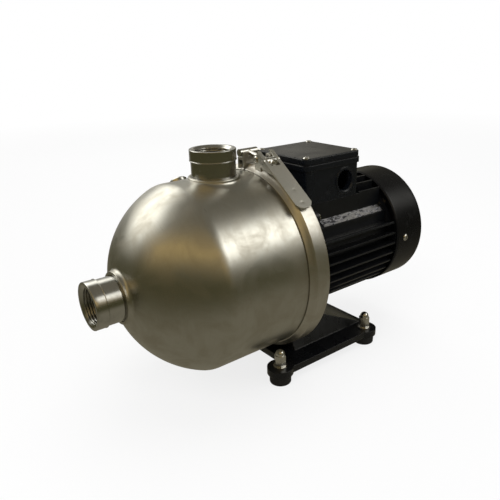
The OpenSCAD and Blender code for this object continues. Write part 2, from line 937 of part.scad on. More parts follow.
// Cradle on the far end of the band that holds the head bar of the T-bolt
module clamp_hook() {
  wall_y = head_y - head_bar_r - hook_play - hook_t;
  floor_z = head_z - head_bar_r - hook_play - hook_t;
  y_far = head_y + head_bar_r;
  slot = 2 * (bolt_r + hook_play);
  color(bright)
    difference() {
      translate([x_band_mid - hook_w / 2, 0, axis_height]) {
        translate([0, wall_y, leg_r])
          cube([hook_w, hook_t, head_z + bolt_r / 2 - leg_r]);
        translate([0, wall_y, floor_z])
          cube([hook_w, y_far - wall_y, hook_t]);
        translate([0, y_far - hook_t, leg_r])
          cube([hook_w, hook_t, floor_z + hook_t - leg_r]);
      }
      translate([x_band_mid - slot / 2, wall_y - over, axis_height + floor_z + hook_t + hook_play])
        cube([slot, hook_t + 2 * over, head_z]);
      band_envelope(seat_gap);
    }
}
hook_w = 18.6;
hook_t = 2;
hook_play = 0.6;

// Two ears on the near end of the band that carry the lever's pivot rivets
module clamp_lug() {
  y_front = pivot_y - pivot_ear_r;
  color(bright)
    difference() {
      union() {
        for (side = [-1, 1])
          translate([x_band_mid + side * (ear_out - ear_t / 2) - ear_t / 2, 0, axis_height]) {
            translate([0, pivot_y, pivot_z])
              rotate([0, 90, 0])
                cylinder(h = ear_t, r = pivot_ear_r);
            translate([0, y_front, leg_r])
              cube([ear_t, 2 * pivot_ear_r, pivot_z - leg_r]);
          }
        translate([x_band_mid - ear_out, y_front, axis_height + leg_r])
          cube([2 * ear_out, 2 * pivot_ear_r, band_rear_r + lug_bridge_t - leg_r]);
      }
      translate([x_band_mid - lever_w, pivot_y, pivot_z + axis_height])
        rotate([0, 90, 0])
          cylinder(h = lever_w * 2, r = rivet_r + run_gap);
      band_envelope(seat_gap);
    }
}
pivot_ear_r = 4.2;
lug_bridge_t = 1.6;

// The closing lever: a strip with a window and two cheeks on the pivot
module lever() {
  tip_r = lever_w / 2;
  color(bright)
    difference() {
      translate([x_band_mid, 0, axis_height])
        multmatrix([
          [1, 0, 0, 0],
          [0, -cos(lever_slope), -sin(lever_slope), 0],
          [0, -sin(lever_slope), cos(lever_slope), 0],
          [0, 0, 0, 1]
        ])
          union() {
            lever_strip(tip_r);
            for (side = [-lever_w / 2, lever_w / 2 - lever_sheet])
              translate([side, 0, 0])
                lever_cheek();
          }
      translate([x_band_mid - lever_w, pivot_y, pivot_z + axis_height])
        rotate([0, 90, 0])
          cylinder(h = lever_w * 2, r = rivet_r + run_gap);
      translate([x_band_mid - lever_w, trunnion_y, trunnion_z + axis_height])
        rotate([0, 90, 0])
          cylinder(h = lever_w * 2, r = trunnion_pin_r + run_gap);
    }
}

// Strip in its own frame: x along the shaft, y along the strip, z out from the axis
module lever_strip(tip_r) {
  s_top = -pivot_back + strip_start;
  s_tip = lever_len - pivot_back;
  translate([0, 0, lever_height - lever_sheet])
    linear_extrude(lever_sheet)
      difference() {
        union() {
          translate([-lever_w / 2, s_top])
            square([lever_w, s_tip - s_top - tip_r * tip_flat_share]);
          intersection() {
            translate([0, s_tip - tip_r])
              circle(r = tip_r * tip_round_share);
            translate([-lever_w / 2, s_top])
              square([lever_w, s_tip - s_top]);
          }
        }
        translate([-window_w / 2, s_top - over])
          square([window_w, window_len + over]);
      }
}
strip_start = -3;
tip_flat_share = 0.55;
tip_round_share = 1.08;
window_w = 10.5;
window_len = 19.5;
trunnion_pin_r = 2.2;

// One bent-down side of the lever, from the pivot to past the trunnion
module lever_cheek() {
  rotate([90, 0, 90])
    linear_extrude(lever_sheet) {
      polygon([
        [strip_start - pivot_back, lever_height],
        [cheek_end - pivot_back, lever_height],
        [cheek_end - pivot_back, lever_height - lever_sheet],
        [cheek_knee - pivot_back, cheek_depth],
        [-pivot_back, lever_height - pivot_depth]
      ]);
      translate([-pivot_back, lever_height - pivot_depth])
        circle(r = pivot_ear_r);
      translate([
        -cos(lever_slope) * trunnion_y - sin(lever_slope) * trunnion_z,
        cos(lever_slope) * trunnion_z - sin(lever_slope) * trunnion_y
      ])
        circle(r = trunnion_r);
    }
}
cheek_end = 26;
cheek_knee = 12;
cheek_depth = 87.6;

// Two stub rivets through cheeks and ears
module lever_rivets() {
  color(bright)
    for (side = [0, 1])
      translate([x_band_mid, pivot_y, pivot_z + axis_height])
        rotate([0, side == 0 ? 90 : -90, 0])
          translate([0, 0, ear_out - ear_t]) {
            cylinder(h = ear_t + cheek_gap + lever_sheet, r = rivet_r);
            translate([0, 0, ear_t + cheek_gap + lever_sheet])
              cylinder(h = rivet_head_h, r1 = rivet_r * rivet_head_share, r2 = rivet_r);
          }
}
rivet_head_h = 1;
rivet_head_share = 1.6;

// Shank along the line of the T-bolt, from the trunnion
module bolt_line(from) {
  translate([x_band_mid, trunnion_y, trunnion_z + axis_height])
    rotate([-90 + bolt_slope, 0, 0])
      translate([0, 0, from])
        children();
}

module t_bolt() {
  color(bright) {
    bolt_line(-bolt_tail)
      cylinder(h = bolt_reach + bolt_tail, r = bolt_r);
    translate([x_band_mid - head_bar_len / 2, head_y, head_z + axis_height])
      rotate([0, 90, 0])
        cylinder(h = head_bar_len, r = head_bar_r);
  }
}
bolt_tail = 7.2;

// The cross barrel that the T-bolt passes through, turning in the lever's cheeks
module t_bolt_trunnion() {
  barrel = lever_w / 2 - lever_sheet - cheek_gap;
  color(steel)
    difference() {
      translate([x_band_mid, trunnion_y, trunnion_z + axis_height])
        rotate([0, 90, 0]) {
          translate([0, 0, -trunnion_half])
            cylinder(h = 2 * trunnion_half, r = trunnion_r);
          translate([0, 0, -barrel - cheek_gap - lever_sheet])
            cylinder(h = 2 * (barrel + cheek_gap + lever_sheet), r = trunnion_pin_r);
        }
      bolt_line(-bolt_reach)
        cylinder(h = bolt_reach * 2, r = bolt_r + seat_gap);
    }
}
trunnion_half = 5.2;

module t_bolt_nut() {
  color(bright)
    bolt_line(-trunnion_r - t_nut_h)
      difference() {
        cylinder(h = t_nut_h, r = t_nut_flats / sqrt(3), $fn = hex);
        translate([0, 0, -over])
          cylinder(h = t_nut_h + 2 * over, r = bolt_r + seat_gap);
      }
}
t_nut_h = 2.6;
t_nut_flats = 7;

// Cast stool between pump and motor, with the drive bearing seat and the foot
module motor_stool() {
  bowl_r = housing_bore_r - stool_spigot;
  wall_mid = (stool_neck_r + bowl_r) / 2;
  x_boss_end = x_drive_bearing + race_w;
  color(black)
    difference() {
      union() {
        disc(x_seal_rear, stool_flange_t, flange_r);
        disc(x_stool_flange, x_stool_step - x_stool_flange, leg_r - free_gap);
        ring(x_stool_step - over, x_housing - x_stool_step + over, stool_neck_r, bowl_r);
        ring(x_housing - over, stool_spigot + over, housing_bore_r - seat_gap, bowl_r);
        disc(x_stool_step - over, x_boss_end - x_stool_step + over, boss_r);
        for (a = lug_angles)
          translate([x_stool_step - over, -lug_ring_r * sin(a), axis_height + lug_ring_r * cos(a)])
            rotate([0, 90, 0])
              cylinder(h = x_housing - x_stool_step + over, r = lug_r);
        translate([x_stool_step - over, -foot_half, z_pad])
          cube([x_housing - x_stool_step + over, 2 * foot_half, axis_height - wall_mid - z_pad]);
        translate([x_stool_step - over, -foot_half, z_pad])
          cube([x_pad_rear - x_stool_step, 2 * foot_half, foot_tongue]);
      }
      disc(x_seal_rear - over, x_drive_bearing - x_seal_rear + 2 * over, seal_shaft_r + shaft_play);
      disc(x_seal_rear - over, stool_recess + over, boss_r - recess_in);
      disc(x_drive_bearing, race_w + over, bearing_r + seat_gap / 2);
      for (a = lug_angles)
        round_axis(a)
          translate([x_housing - bolt_grip - over, 0, lug_ring_r])
            rotate([0, 90, 0])
              cylinder(h = bolt_grip + 2 * over, r = stool_bolt_r + seat_gap);
      base_bolt_places()
        translate([0, 0, z_pad - over])
          cylinder(h = foot_tongue * foot_depth_share + over, r = base_bolt_r + seat_gap);
    }
}
stool_spigot = 4;
stool_recess = 5;
shaft_play = 2;
recess_in = 2;
foot_half = 27;
foot_tongue = 6;
foot_depth_share = 0.85;

// Places of the bolts that hold the stool on the base
module base_bolt_places() {
  for (x = [x_pad + base_bolt_inset, x_pad_rear - base_bolt_inset])
    for (y = [-base_bolt_y, base_bolt_y])
      translate([x, y, 0])
        children();
}

// Bolts through the housing lugs into the stool
module stool_bolts() {
  color(bright)
    for (a = lug_angles)
      round_axis(a)
        translate([x_housing - bolt_grip, 0, lug_ring_r])
          rotate([0, 90, 0]) {
            cylinder(h = bolt_grip + lug_t, r = stool_bolt_r);
            translate([0, 0, bolt_grip + lug_t])
              cylinder(h = stool_bolt_head_h, r = stool_bolt_head_r, $fn = hex);
          }
}
bolt_grip = 8;

// Finned stator housing with the shoulder under the terminal box
module stator_housing() {
  fin_step = (360 - 2 * first_fin) / (fin_count - 1);
  x_fins = x_housing + fin_inset;
  fins_len = housing_len - fin_inset - fin_rear_in;
  ledge_y = shoulder_half - 2;
  color(black)
    difference() {
      union() {
        disc(x_housing, housing_len, core_r);
        for (i = [0 : fin_count - 1])
          round_axis(first_fin + i * fin_step)
            translate([x_fins, -fin_t / 2, core_r - fin_t])
              cube([fins_len, fin_t, fin_tip_r - core_r + fin_t]);
        translate([x_fins, -shoulder_half, axis_height])
          cube([x_box_rear + box_wall - x_fins, 2 * shoulder_half, shoulder_top]);
        for (i = [0.5 : 3.5])
          for (side = [-1, 1])
            upright_fin(side * i * top_fin_pitch, x_box_rear + box_wall,
              x_fins + fins_len - x_box_rear - box_wall);
        for (side = [-1, 1])
          translate([x_fins, 0, axis_height])
            rotate([90, 0, 90])
              linear_extrude(fins_len)
                polygon([
                  [side * ledge_y, 0],
                  [side * (ledge_low_y + ledge_foot), 0],
                  [side * ledge_low_y, ledge_low_z],
                  [side * ledge_y, ledge_high_z]
                ]);
        for (a = lug_angles)
          round_axis(a)
            translate([x_housing, 0, lug_ring_r])
              rotate([0, 90, 0]) {
                cylinder(h = lug_t, r = lug_r);
                translate([0, -lug_r, 0])
                  cube([lug_r * 2, lug_r * 2, lug_t]);
              }
      }
      disc(x_housing - over, housing_len + 2 * over, housing_bore_r);
      for (a = lug_angles)
        round_axis(a)
          translate([x_housing, 0, lug_ring_r])
            rotate([0, 90, 0]) {
              translate([0, 0, -over])
                cylinder(h = lug_t + 2 * over, r = stool_bolt_r + seat_gap);
              translate([0, 0, lug_t])
                cylinder(h = stool_bolt_head_h * 2, r = stool_bolt_head_r + spanner_play);
            }
      translate([x_box + box_len / 2 - lead_slot / 2, -lead_slot / 2, axis_height])
        cube([lead_slot, lead_slot, shoulder_top + over]);
    }
}
fin_inset = 2;
fin_rear_in = 0.5;
spanner_play = 1;
ledge_low_y = 46.5;
ledge_low_z = 29.5;
ledge_high_z = 36;
ledge_foot = 1.5;
lead_slot = 22;

// One upright fin whose top follows the round of the motor
module upright_fin(y, x, len) {
  top = sqrt(pow(top_fin_r, 2) - pow(abs(y), 2));
  translate([x, y - fin_t / 2, axis_height])
    cube([len, fin_t, top]);
}

// Laminated stator with open slots towards the rotor
module stator_core() {
  slot_r = stator_bore_r + slot_depth;
  color(iron)
    difference() {
      ring(x_stator, stator_len, housing_bore_r - seat_gap, stator_bore_r);
      for (i = [0 : stator_slots - 1])
        round_axis(i * 360 / stator_slots)
          translate([x_stator - over, -slot_w / 2, stator_bore_r - over])
            cube([stator_len + 2 * over, slot_w, slot_r - stator_bore_r + over]);
    }
}
slot_depth = 11;
slot_w = 3.6;

// Copper in the slots and the rounded overhangs at both ends
module stator_winding() {
  r_in = stator_bore_r + slot_neck;
  r_out = stator_bore_r + slot_depth - seat_gap;
  color(copper) {
    for (i = [0 : stator_slots - 1])
      round_axis(i * 360 / stator_slots)
        translate([x_stator - over, -slot_w / 2 + seat_gap, r_in])
          cube([stator_len + 2 * over, slot_w - 2 * seat_gap, r_out - r_in]);
    ring(x_stator - overhang, overhang - seat_gap, r_out + slot_neck, r_in);
    ring(x_stator_rear + seat_gap, overhang - seat_gap, r_out + slot_neck, r_in);
  }
}
slot_neck = 2.5;

// Squirrel-cage rotor with its end rings
module rotor_core() {
  r = stator_bore_r - air_gap;
  color(iron) {
    ring(x_stator, stator_len, r, rotor_shaft_r + seat_gap);
    ring(x_stator - end_ring_len, end_ring_len, r - end_ring_in, rotor_shaft_r + end_ring_gap);
    ring(x_stator_rear, end_ring_len, r - end_ring_in, rotor_shaft_r + end_ring_gap);
  }
}
end_ring_len = 6;
end_ring_in = 1;
end_ring_gap = 6;

ball_r = 3;
race_t = 3.2;
ball_ring_r = (bearing_r + bearing_shaft_r) / 2;

// Outer race with its groove
module bearing_outer(x) {
  color(bright)
    on_axis(x)
      difference() {
        cylinder(h = race_w, r = bearing_r);
        translate([0, 0, -over])
          cylinder(h = race_w + 2 * over, r = bearing_r - race_t);
        translate([0, 0, race_w / 2])
          ball_groove();
      }
}

// Inner race with the balls round it
module bearing_inner(x) {
  color(bright)
    on_axis(x) {
      difference() {
        cylinder(h = race_w, r = bearing_shaft_r + race_t);
        translate([0, 0, -over])
          cylinder(h = race_w + 2 * over, r = bearing_shaft_r + seat_gap / 2);
        translate([0, 0, race_w / 2])
          ball_groove();
      }
      for (i = [0 : bearing_balls - 1])
        rotate([0, 0, i * 360 / bearing_balls])
          translate([ball_ring_r, 0, race_w / 2])
            sphere(r = ball_r);
    }
}

module ball_groove() {
  rotate_extrude()
    translate([ball_ring_r, 0])
      circle(r = ball_r + run_gap);
}

module drive_bearing_outer() {
  bearing_outer(x_drive_bearing);
}

module drive_bearing_inner() {
  bearing_inner(x_drive_bearing);
}

module fan_bearing_outer() {
  bearing_outer(x_fan_bearing);
}

module fan_bearing_inner() {
  bearing_inner(x_fan_bearing);
}

// Shield at the fan end with the rear bearing seat and the lugs that carry the cover
module fan_end_shield() {
  x_front = x_fan_bearing;
  color(black)
    difference() {
      union() {
        disc(x_housing_rear, shield_t, core_r + shield_rim);
        disc(x_front, x_housing_rear + shield_t - x_front, boss_r);
        disc(x_housing_rear - stool_spigot, stool_spigot + over, housing_bore_r - seat_gap);
        for (a = cover_screw_angles)
          round_axis(a)
            translate([x_housing_rear, -cover_lug_half, boss_r])
              cube([cover_screw_back + cover_lap + cover_lug_half, 2 * cover_lug_half,
                cover_r - cover_wall - seat_gap - boss_r - shield_rim / 2]);
      }
      ring(x_housing_rear - stool_spigot - over, stool_spigot + over,
        housing_bore_r - stool_spigot, boss_r);
      disc(x_fan_bearing - over, race_w + over + seat_gap, bearing_r + seat_gap / 2);
      disc(x_front - over, shield_t * 3, bearing_shaft_r + shaft_play);
      disc(x_housing_rear + shield_t, cover_len, cover_lug_in);
      for (a = cover_screw_angles)
        round_axis(a)
          translate([x_cover + cover_screw_back, 0, boss_r + cover_screw_deep])
            cylinder(h = cover_r, r = cover_screw_r + seat_gap);
      for (a = lug_angles)
        round_axis(a)
          translate([x_housing_rear - over, 0, shield_screw_ring_r])
            rotate([0, 90, 0])
              cylinder(h = shield_t + 2 * over, r = cover_screw_r + seat_gap);
    }
}
cover_lug_half = 5;
cover_lug_in = 54;
cover_screw_deep = 30;
shield_screw_ring_r = 50;

// Screws that hold the fan-end shield to the housing
module shield_screws() {
  color(bright)
    for (a = lug_angles)
      round_axis(a)
        translate([x_housing_rear - shield_screw_grip, 0, shield_screw_ring_r])
          rotate([0, 90, 0]) {
            translate([0, 0, shield_screw_grip])
              cylinder(h = shield_t, r = cover_screw_r);
            translate([0, 0, shield_screw_grip + shield_t])
              cylinder(h = cover_screw_head_h, r = cover_screw_head_r);
          }
}
shield_screw_grip = 6;
cover_screw_head_h = 1.8;
shield_rim = 2;

// Radial-bladed cooling fan pressed on the shaft
module fan() {
  color(black)
    difference() {
      union() {
        disc(x_fan, fan_w - fan_sheet, fan_hub_r);
        disc(x_fan, fan_sheet, fan_r);
        for (i = [0 : fan_blades - 1])
          round_axis(i * 360 / fan_blades)
            translate([x_fan, -fan_sheet / 2, fan_hub_r - over])
              cube([fan_w, fan_sheet, fan_r - fan_hub_r + over]);
      }
      disc(x_fan - over, fan_w + 2 * over, fan_shaft_r + seat_gap);
      taper_ring_cut();
    }
}
fan_hub_r = 12;
fan_sheet = 2;

// Slopes the outer corners of the blades towards the grille
module taper_ring_cut() {
  on_axis(x_fan + fan_w - fan_slope)
    difference() {
      cylinder(h = fan_slope + over, r = fan_r + over);
      cylinder(h = fan_slope + over, r1 = fan_r, r2 = fan_r - fan_slope);
    }
}
fan_slope = 6;

// Section of the fan cover with its rounded rear edge, open at the front
module cover_section(inset, front) {
  translate([0, -front])
    square([cover_r - inset, cover_len - cover_edge_r + front]);
  translate([0, -front])
    square([cover_r - cover_edge_r, cover_len - inset + front]);
  translate([cover_r - cover_edge_r, cover_len - cover_edge_r])
    circle(r = cover_edge_r - inset);
}

module fan_cover() {
  color(black)
    difference() {
      on_axis(x_cover)
        rotate_extrude()
          cover_section(0, 0);
      on_axis(x_cover)
        rotate_extrude()
          cover_section(cover_wall, over);
      for (r = [grille_first : grille_pitch : cover_r - cover_edge_r - grille_gap - grille_rim])
        difference() {
          ring(x_cover_rear - cover_wall - over, cover_wall + 2 * over, r + grille_gap, r);
          for (a = [45, 135])
            round_axis(a)
              translate([x_cover_rear - cover_wall - 2 * over, -grille_spoke / 2, -cover_r])
                cube([cover_wall + 4 * over, grille_spoke, 2 * cover_r]);
        }
      for (a = cover_screw_angles)
        round_axis(a)
          translate([x_cover + cover_screw_back, 0, cover_r - cover_edge_r])
            cylinder(h = cover_r, r = cover_screw_r + seat_gap);
    }
}
grille_first = 12;
grille_rim = 2;
grille_pitch = 7.5;
grille_gap = 4;
grille_spoke = 8;

module cover_screws() {
  color(bright)
    for (a = cover_screw_angles)
      round_axis(a)
        translate([x_cover + cover_screw_back, 0, cover_r + seat_gap])
          difference() {
            union() {
              translate([0, 0, -cover_screw_len])
                cylinder(h = cover_screw_len, r = cover_screw_r);
              cylinder(h = cover_screw_head_h * 0.5, r = cover_screw_head_r);
              translate([0, 0, cover_screw_head_h * 0.5])
                cylinder(h = cover_screw_head_h * 0.5, r1 = cover_screw_head_r,
                  r2 = cover_screw_head_r * dome_share);
            }
            cross_recess(cover_screw_head_r, cover_screw_head_h);
          }
}
cover_screw_len = 6;
dome_share = 0.7;

// Cross recess in the top of a screw head of radius r and height h
module cross_recess(r, h) {
  for (a = [0, 90])
    rotate([0, 0, a])
      translate([-r * recess_long_share, -r * recess_wide_share, h / 2])
        cube([2 * r * recess_long_share, 2 * r * recess_wide_share, h]);
}
recess_long_share = 0.55;
recess_wide_share = 0.14;

// Bare metal foil on the ledge beside the terminal box
module rating_plate() {
  ledge_y = shoulder_half - 2;
  slope = atan2(ledge_high_z - ledge_low_z, ledge_low_y - ledge_y);
  run = sqrt(pow(ledge_low_y - ledge_y, 2) + pow(ledge_high_z - ledge_low_z, 2));
  color(bright)
    translate([x_housing + plate_in, -ledge_low_y, ledge_low_z + axis_height])
      rotate([slope, 0, 0])
        translate([0, plate_rim, seat_gap / 2])
          cube([housing_len - 2 * fin_inset - plate_in, run - plate_rim - shoulder_wall_in, foil_t]);
}
plate_in = 26;
plate_rim = 0.8;
shoulder_wall_in = 2.9;
foil_t = 0.4;

// A box with round corners, from its near front corner outward
module round_box(x, half, len, h, r) {
  translate([x, 0, 0])
    linear_extrude(h) {
      translate([r, -half])
        square([len - 2 * r, 2 * half]);
      translate([0, -half + r])
        square([len, 2 * half - 2 * r]);
      for (cx = [r, len - r])
        for (cy = [-half + r, half - r])
          translate([cx, cy])
            circle(r = r);
    }
}

module lid_screw_places() {
  for (x = [x_box + screw_inset, x_box_rear - screw_inset])
    for (y = [-box_half + screw_inset, box_half - screw_inset])
      translate([x, y, 0])
        children();
}

module terminal_box() {
  corner = lid_corner_r - lid_over;
  y_out = -box_half - entry_ring_h;
  x_entry = x_box_rear - entry_ahead;
  z_entry = z_box + entry_up;
  color(black)
    difference() {
      union() {
        translate([0, 0, z_box])
          difference() {
            union() {
              round_box(x_box, box_half, box_len, box_h, corner);
              translate([0, 0, box_h - box_rim_h])
                round_box(x_box - box_rim_out, box_half + box_rim_out,
                  box_len + 2 * box_rim_out, box_rim_h, corner + box_rim_out);
            }
            translate([0, 0, box_wall])
              round_box(x_box + box_wall, box_half - box_wall, box_len - 2 * box_wall,
                box_h, corner - box_wall / 2);
          }
        lid_screw_places()
          translate([0, 0, z_box])
            cylinder(h = box_h, r = post_r);
        translate([x_entry, y_out, z_entry])
          rotate([-90, 0, 0])
            cylinder(h = entry_len, r = entry_ring_r);
      }
      translate([x_entry, y_out, z_entry])
        rotate([-90, 0, 0]) {
          translate([0, 0, -over])
            cylinder(h = entry_len + 2 * over, r = entry_r);
          cylinder(h = entry_chamfer, r1 = entry_r + entry_chamfer, r2 = entry_r);
        }
      lid_screw_places()
        translate([0, 0, z_lid - post_depth])
          cylinder(h = post_depth + over, r = lid_screw_r + seat_gap);
      translate([x_box + box_len / 2 - lead_slot / 2, -lead_slot / 2, z_box - over])
        cube([lead_slot, lead_slot, box_wall + 2 * over]);
    }
}
post_depth = 14;
entry_chamfer = 1.4;

module lid_gasket() {
  corner = lid_corner_r - lid_over;
  color(rubber)
    translate([0, 0, z_lid])
      difference() {
        round_box(x_box, box_half, box_len, gasket_t, corner);
        translate([0, 0, -over])
          round_box(x_box + gasket_w, box_half - gasket_w, box_len - 2 * gasket_w,
            gasket_t + 2 * over, corner);
        lid_screw_places()
          translate([0, 0, -over])
            cylinder(h = gasket_t + 2 * over, r = lid_screw_r + seat_gap);
      }
}
gasket_w = 7;

module box_lid() {
  z_under = z_lid + gasket_t;
  skirt = lid_h - gasket_t;
  color(black)
    difference() {
      union() {
        translate([0, 0, z_under])
          round_box(x_box - lid_over, box_half + lid_over, box_len + 2 * lid_over,
            skirt - lid_bevel, lid_corner_r);
        translate([0, 0, z_under + skirt - lid_bevel])
          round_box(x_box - lid_over + lid_bevel, box_half + lid_over - lid_bevel,
            box_len + 2 * lid_over - 2 * lid_bevel, lid_bevel, lid_corner_r - lid_bevel);
      }
      translate([0, 0, z_under - over])
        round_box(x_box + gasket_w, box_half - gasket_w, box_len - 2 * gasket_w,
          skirt - lid_bevel - lid_roof + over, lid_corner_r);
      lid_screw_places()
        translate([0, 0, z_under - over])
          cylinder(h = lid_h + 2 * over, r = lid_screw_r + seat_gap);
      lid_screw_places()
        translate([0, 0, z_under + skirt - lid_screw_sink])
          cylinder(h = lid_h, r = lid_screw_head_r + free_gap);
    }
}
lid_bevel = 0.8;
lid_roof = 1;
lid_screw_sink = 0.9;

module lid_screws() {
  z_seat = z_lid + lid_h - lid_screw_sink;
  color(bright)
    lid_screw_places()
      translate([0, 0, z_seat])
        difference() {
          union() {
            translate([0, 0, -lid_screw_len])
              cylinder(h = lid_screw_len + over, r = lid_screw_r);
            cylinder(h = lid_screw_head_h / 2, r = lid_screw_head_r);
            translate([0, 0, lid_screw_head_h / 2])
              cylinder(h = lid_screw_head_h / 2, r1 = lid_screw_head_r,
                r2 = lid_screw_head_r * dome_share);
          }
          cross_recess(lid_screw_head_r, lid_screw_head_h);
        }
}
lid_screw_len = 16;

// Block with six terminals on the floor of the box
module terminal_block() {
  color(iron)
    difference() {
      translate([x_box + box_len / 2 - block_long / 2, -block_wide / 2, z_box + box_wall])
        cube([block_long, block_wide, block_h]);
      terminal_places()
        translate([0, 0, z_box + box_wall + block_h - terminal_deep])
          cylinder(h = terminal_deep + over, r = terminal_r + seat_gap);
    }
}
block_long = 40;
block_wide = 26;
block_h = 9;
terminal_deep = 6;
terminal_r = 2;
terminal_pitch = 12;
terminal_row = 12;
terminal_stand = 8;
terminal_nut_r = 4;
terminal_nut_h = 2.4;

module terminal_places() {
  for (i = [-1 : 1])
    for (side = [-1, 1])
      translate([x_box + box_len / 2 + i * terminal_pitch, side * terminal_row / 2, 0])
        children();
}

module terminal_studs() {
  z_top = z_box + box_wall + block_h;
  color("goldenrod")
    terminal_places()
      translate([0, 0, z_top]) {
        translate([0, 0, -terminal_deep])
          cylinder(h = terminal_deep + terminal_stand, r = terminal_r);
        cylinder(h = terminal_nut_h, r = terminal_nut_r, $fn = hex);
      }
}

// Plan of the base plate with its corner ears, shrunk by inset
module base_plan(inset) {
  x_foot = feet_long / 2;
  y_foot = feet_wide / 2;
  r = edge_round - inset;
  y_in = y_edge - inset - r;
  hx = [x_edge_front + inset + r, x_edge_rear - inset - r];
  translate([hx[0], -y_in - r])
    square([hx[1] - hx[0], 2 * (y_in + r)]);
  translate([hx[0] - r, -y_in])
    square([hx[1] - hx[0] + 2 * r, 2 * y_in]);
  for (x = hx)
    for (y = [-y_in, y_in])
      translate([x, y])
        circle(r = r);
  for (x = [-x_foot, x_foot])
    for (side = [-1, 1])
      translate([x, side * y_foot])
        circle(r = ear_r - inset);
  for (side = [-1, 1])
    translate([-x_foot, side > 0 ? y_foot - ear_neck + inset : -y_in - r])
      square([front_setback + r * 2, y_in + r - y_foot + ear_neck - inset]);
}
ear_neck = 12;

// The hipped centre of the base, shrunk by inset
module pedestal(inset) {
  drop = inset;
  hull() {
    translate([x_stool_step + inset, -pedestal_half + inset, z_plate - plate_t - drop])
      cube([x_edge_rear - pedestal_rear - x_stool_step - 2 * inset, 2 * (pedestal_half - inset),
        plate_t]);
    translate([x_pad + inset, -pad_half + inset, z_pad - plate_t - drop])
      cube([pad_len - 2 * inset, 2 * (pad_half - inset), plate_t]);
  }
}

module base_plate() {
  color(black)
    difference() {
      union() {
        translate([0, 0, z_plate - rim_h])
          linear_extrude(rim_h)
            base_plan(0);
        pedestal(0);
      }
      translate([0, 0, z_plate - rim_h - over])
        linear_extrude(rim_h - plate_t + over)
          base_plan(plate_t);
      pedestal(plate_t);
      base_bolt_places()
        translate([0, 0, z_pad - plate_t - over])
          cylinder(h = plate_t + 2 * over, r = base_bolt_r + seat_gap);
      foot_places()
        translate([0, 0, foot_h - over])
          cylinder(h = plate_t + 2 * over, r = stud_r + seat_gap);
    }
}

module base_bolts() {
  color(bright)
    base_bolt_places()
      translate([0, 0, z_pad - plate_t]) {
        translate([0, 0, -base_bolt_head_h])
          cylinder(h = base_bolt_head_h, r = base_bolt_flats / sqrt(3), $fn = hex);
        cylinder(h = plate_t + foot_tongue * foot_depth_share - tip_gap, r = base_bolt_r);
      }
}

module foot_places() {
  for (x = [-feet_long / 2, feet_long / 2])
    for (y = [-feet_wide / 2, feet_wide / 2])
      translate([x, y, 0])
        children();
}

module rubber_feet() {
  color(rubber)
    foot_places()
      difference() {
        union() {
          cylinder(h = foot_bevel, r1 = foot_r - foot_bevel, r2 = foot_r);
          translate([0, 0, foot_bevel])
            cylinder(h = foot_h - foot_bevel, r = foot_r);
        }
        translate([0, 0, foot_h - stud_deep])
          cylinder(h = stud_deep + over, r = stud_r + seat_gap);
      }
}
foot_bevel = 1;
tip_gap = 1;
stud_deep = 9;

module foot_studs() {
  color(bright)
    foot_places()
      translate([0, 0, foot_h - stud_deep + seat_gap])
        cylinder(h = stud_deep + plate_t + washer_t + nut_h + cap_hex_h - tip_gap, r = stud_r);
}

module foot_washers() {
  color(bright)
    foot_places()
      translate([0, 0, z_plate])
        difference() {
          cylinder(h = washer_t, r = washer_r);
          translate([0, 0, -over])
            cylinder(h = washer_t + 2 * over, r = stud_r + seat_gap);
        }
}

module foot_nuts() {
  color(bright)
    foot_places()
      translate([0, 0, z_plate + washer_t])
        difference() {
          cylinder(h = nut_h, r = nut_flats / sqrt(3), $fn = hex);
          translate([0, 0, -over])
            cylinder(h = nut_h + 2 * over, r = stud_r + seat_gap);
        }
}

// Hexagon cap nuts with a round dome
module cap_nuts() {
  dome_r = nut_flats / 2 - cap_shrink;
  color(bright)
    foot_places()
      translate([0, 0, z_plate + washer_t + nut_h])
        difference() {
          union() {
            cylinder(h = cap_hex_h, r = nut_flats / sqrt(3), $fn = hex);
            cylinder(h = cap_hex_h + cap_neck, r = dome_r);
            translate([0, 0, cap_hex_h + cap_neck])
              sphere(r = dome_r);
          }
          translate([0, 0, -over])
            cylinder(h = cap_hex_h + over, r = stud_r + seat_gap);
        }
}
cap_shrink = 0.4;
cap_neck = 1;

pump_sleeve();
suction_port();
discharge_port();
fill_plug();
fill_plug_ring();
drain_plug();
drain_plug_ring();
inlet_guide();
chamber_1();
chamber_2();
chamber_3();
neck_rings();
impeller_1();
impeller_2();
impeller_3();
shaft_spacers();
shaft_nut();
outlet_cage();
seal_plate();
sleeve_ring();
seal_seat();
seal_unit();
shaft();
clamp_band();
clamp_hook();
clamp_lug();
lever();
lever_rivets();
t_bolt();
t_bolt_trunnion();
t_bolt_nut();
motor_stool();
stool_bolts();
stator_housing();
stator_core();
stator_winding();
rotor_core();
drive_bearing_outer();
drive_bearing_inner();
fan_bearing_outer();
fan_bearing_inner();
fan_end_shield();
shield_screws();
fan();
fan_cover();
cover_screws();
rating_plate();
terminal_box();
lid_gasket();
box_lid();
lid_screws();
terminal_block();
terminal_studs();
base_plate();
base_bolts();
rubber_feet();
foot_studs();
foot_washers();
foot_nuts();
cap_nuts();
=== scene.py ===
# Looks of a horizontal multistage pump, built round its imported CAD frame. Metres, X along the
# shaft, Z up
import json
import math

import bmesh
import bpy
import numpy as np
from mathutils import Matrix, Vector


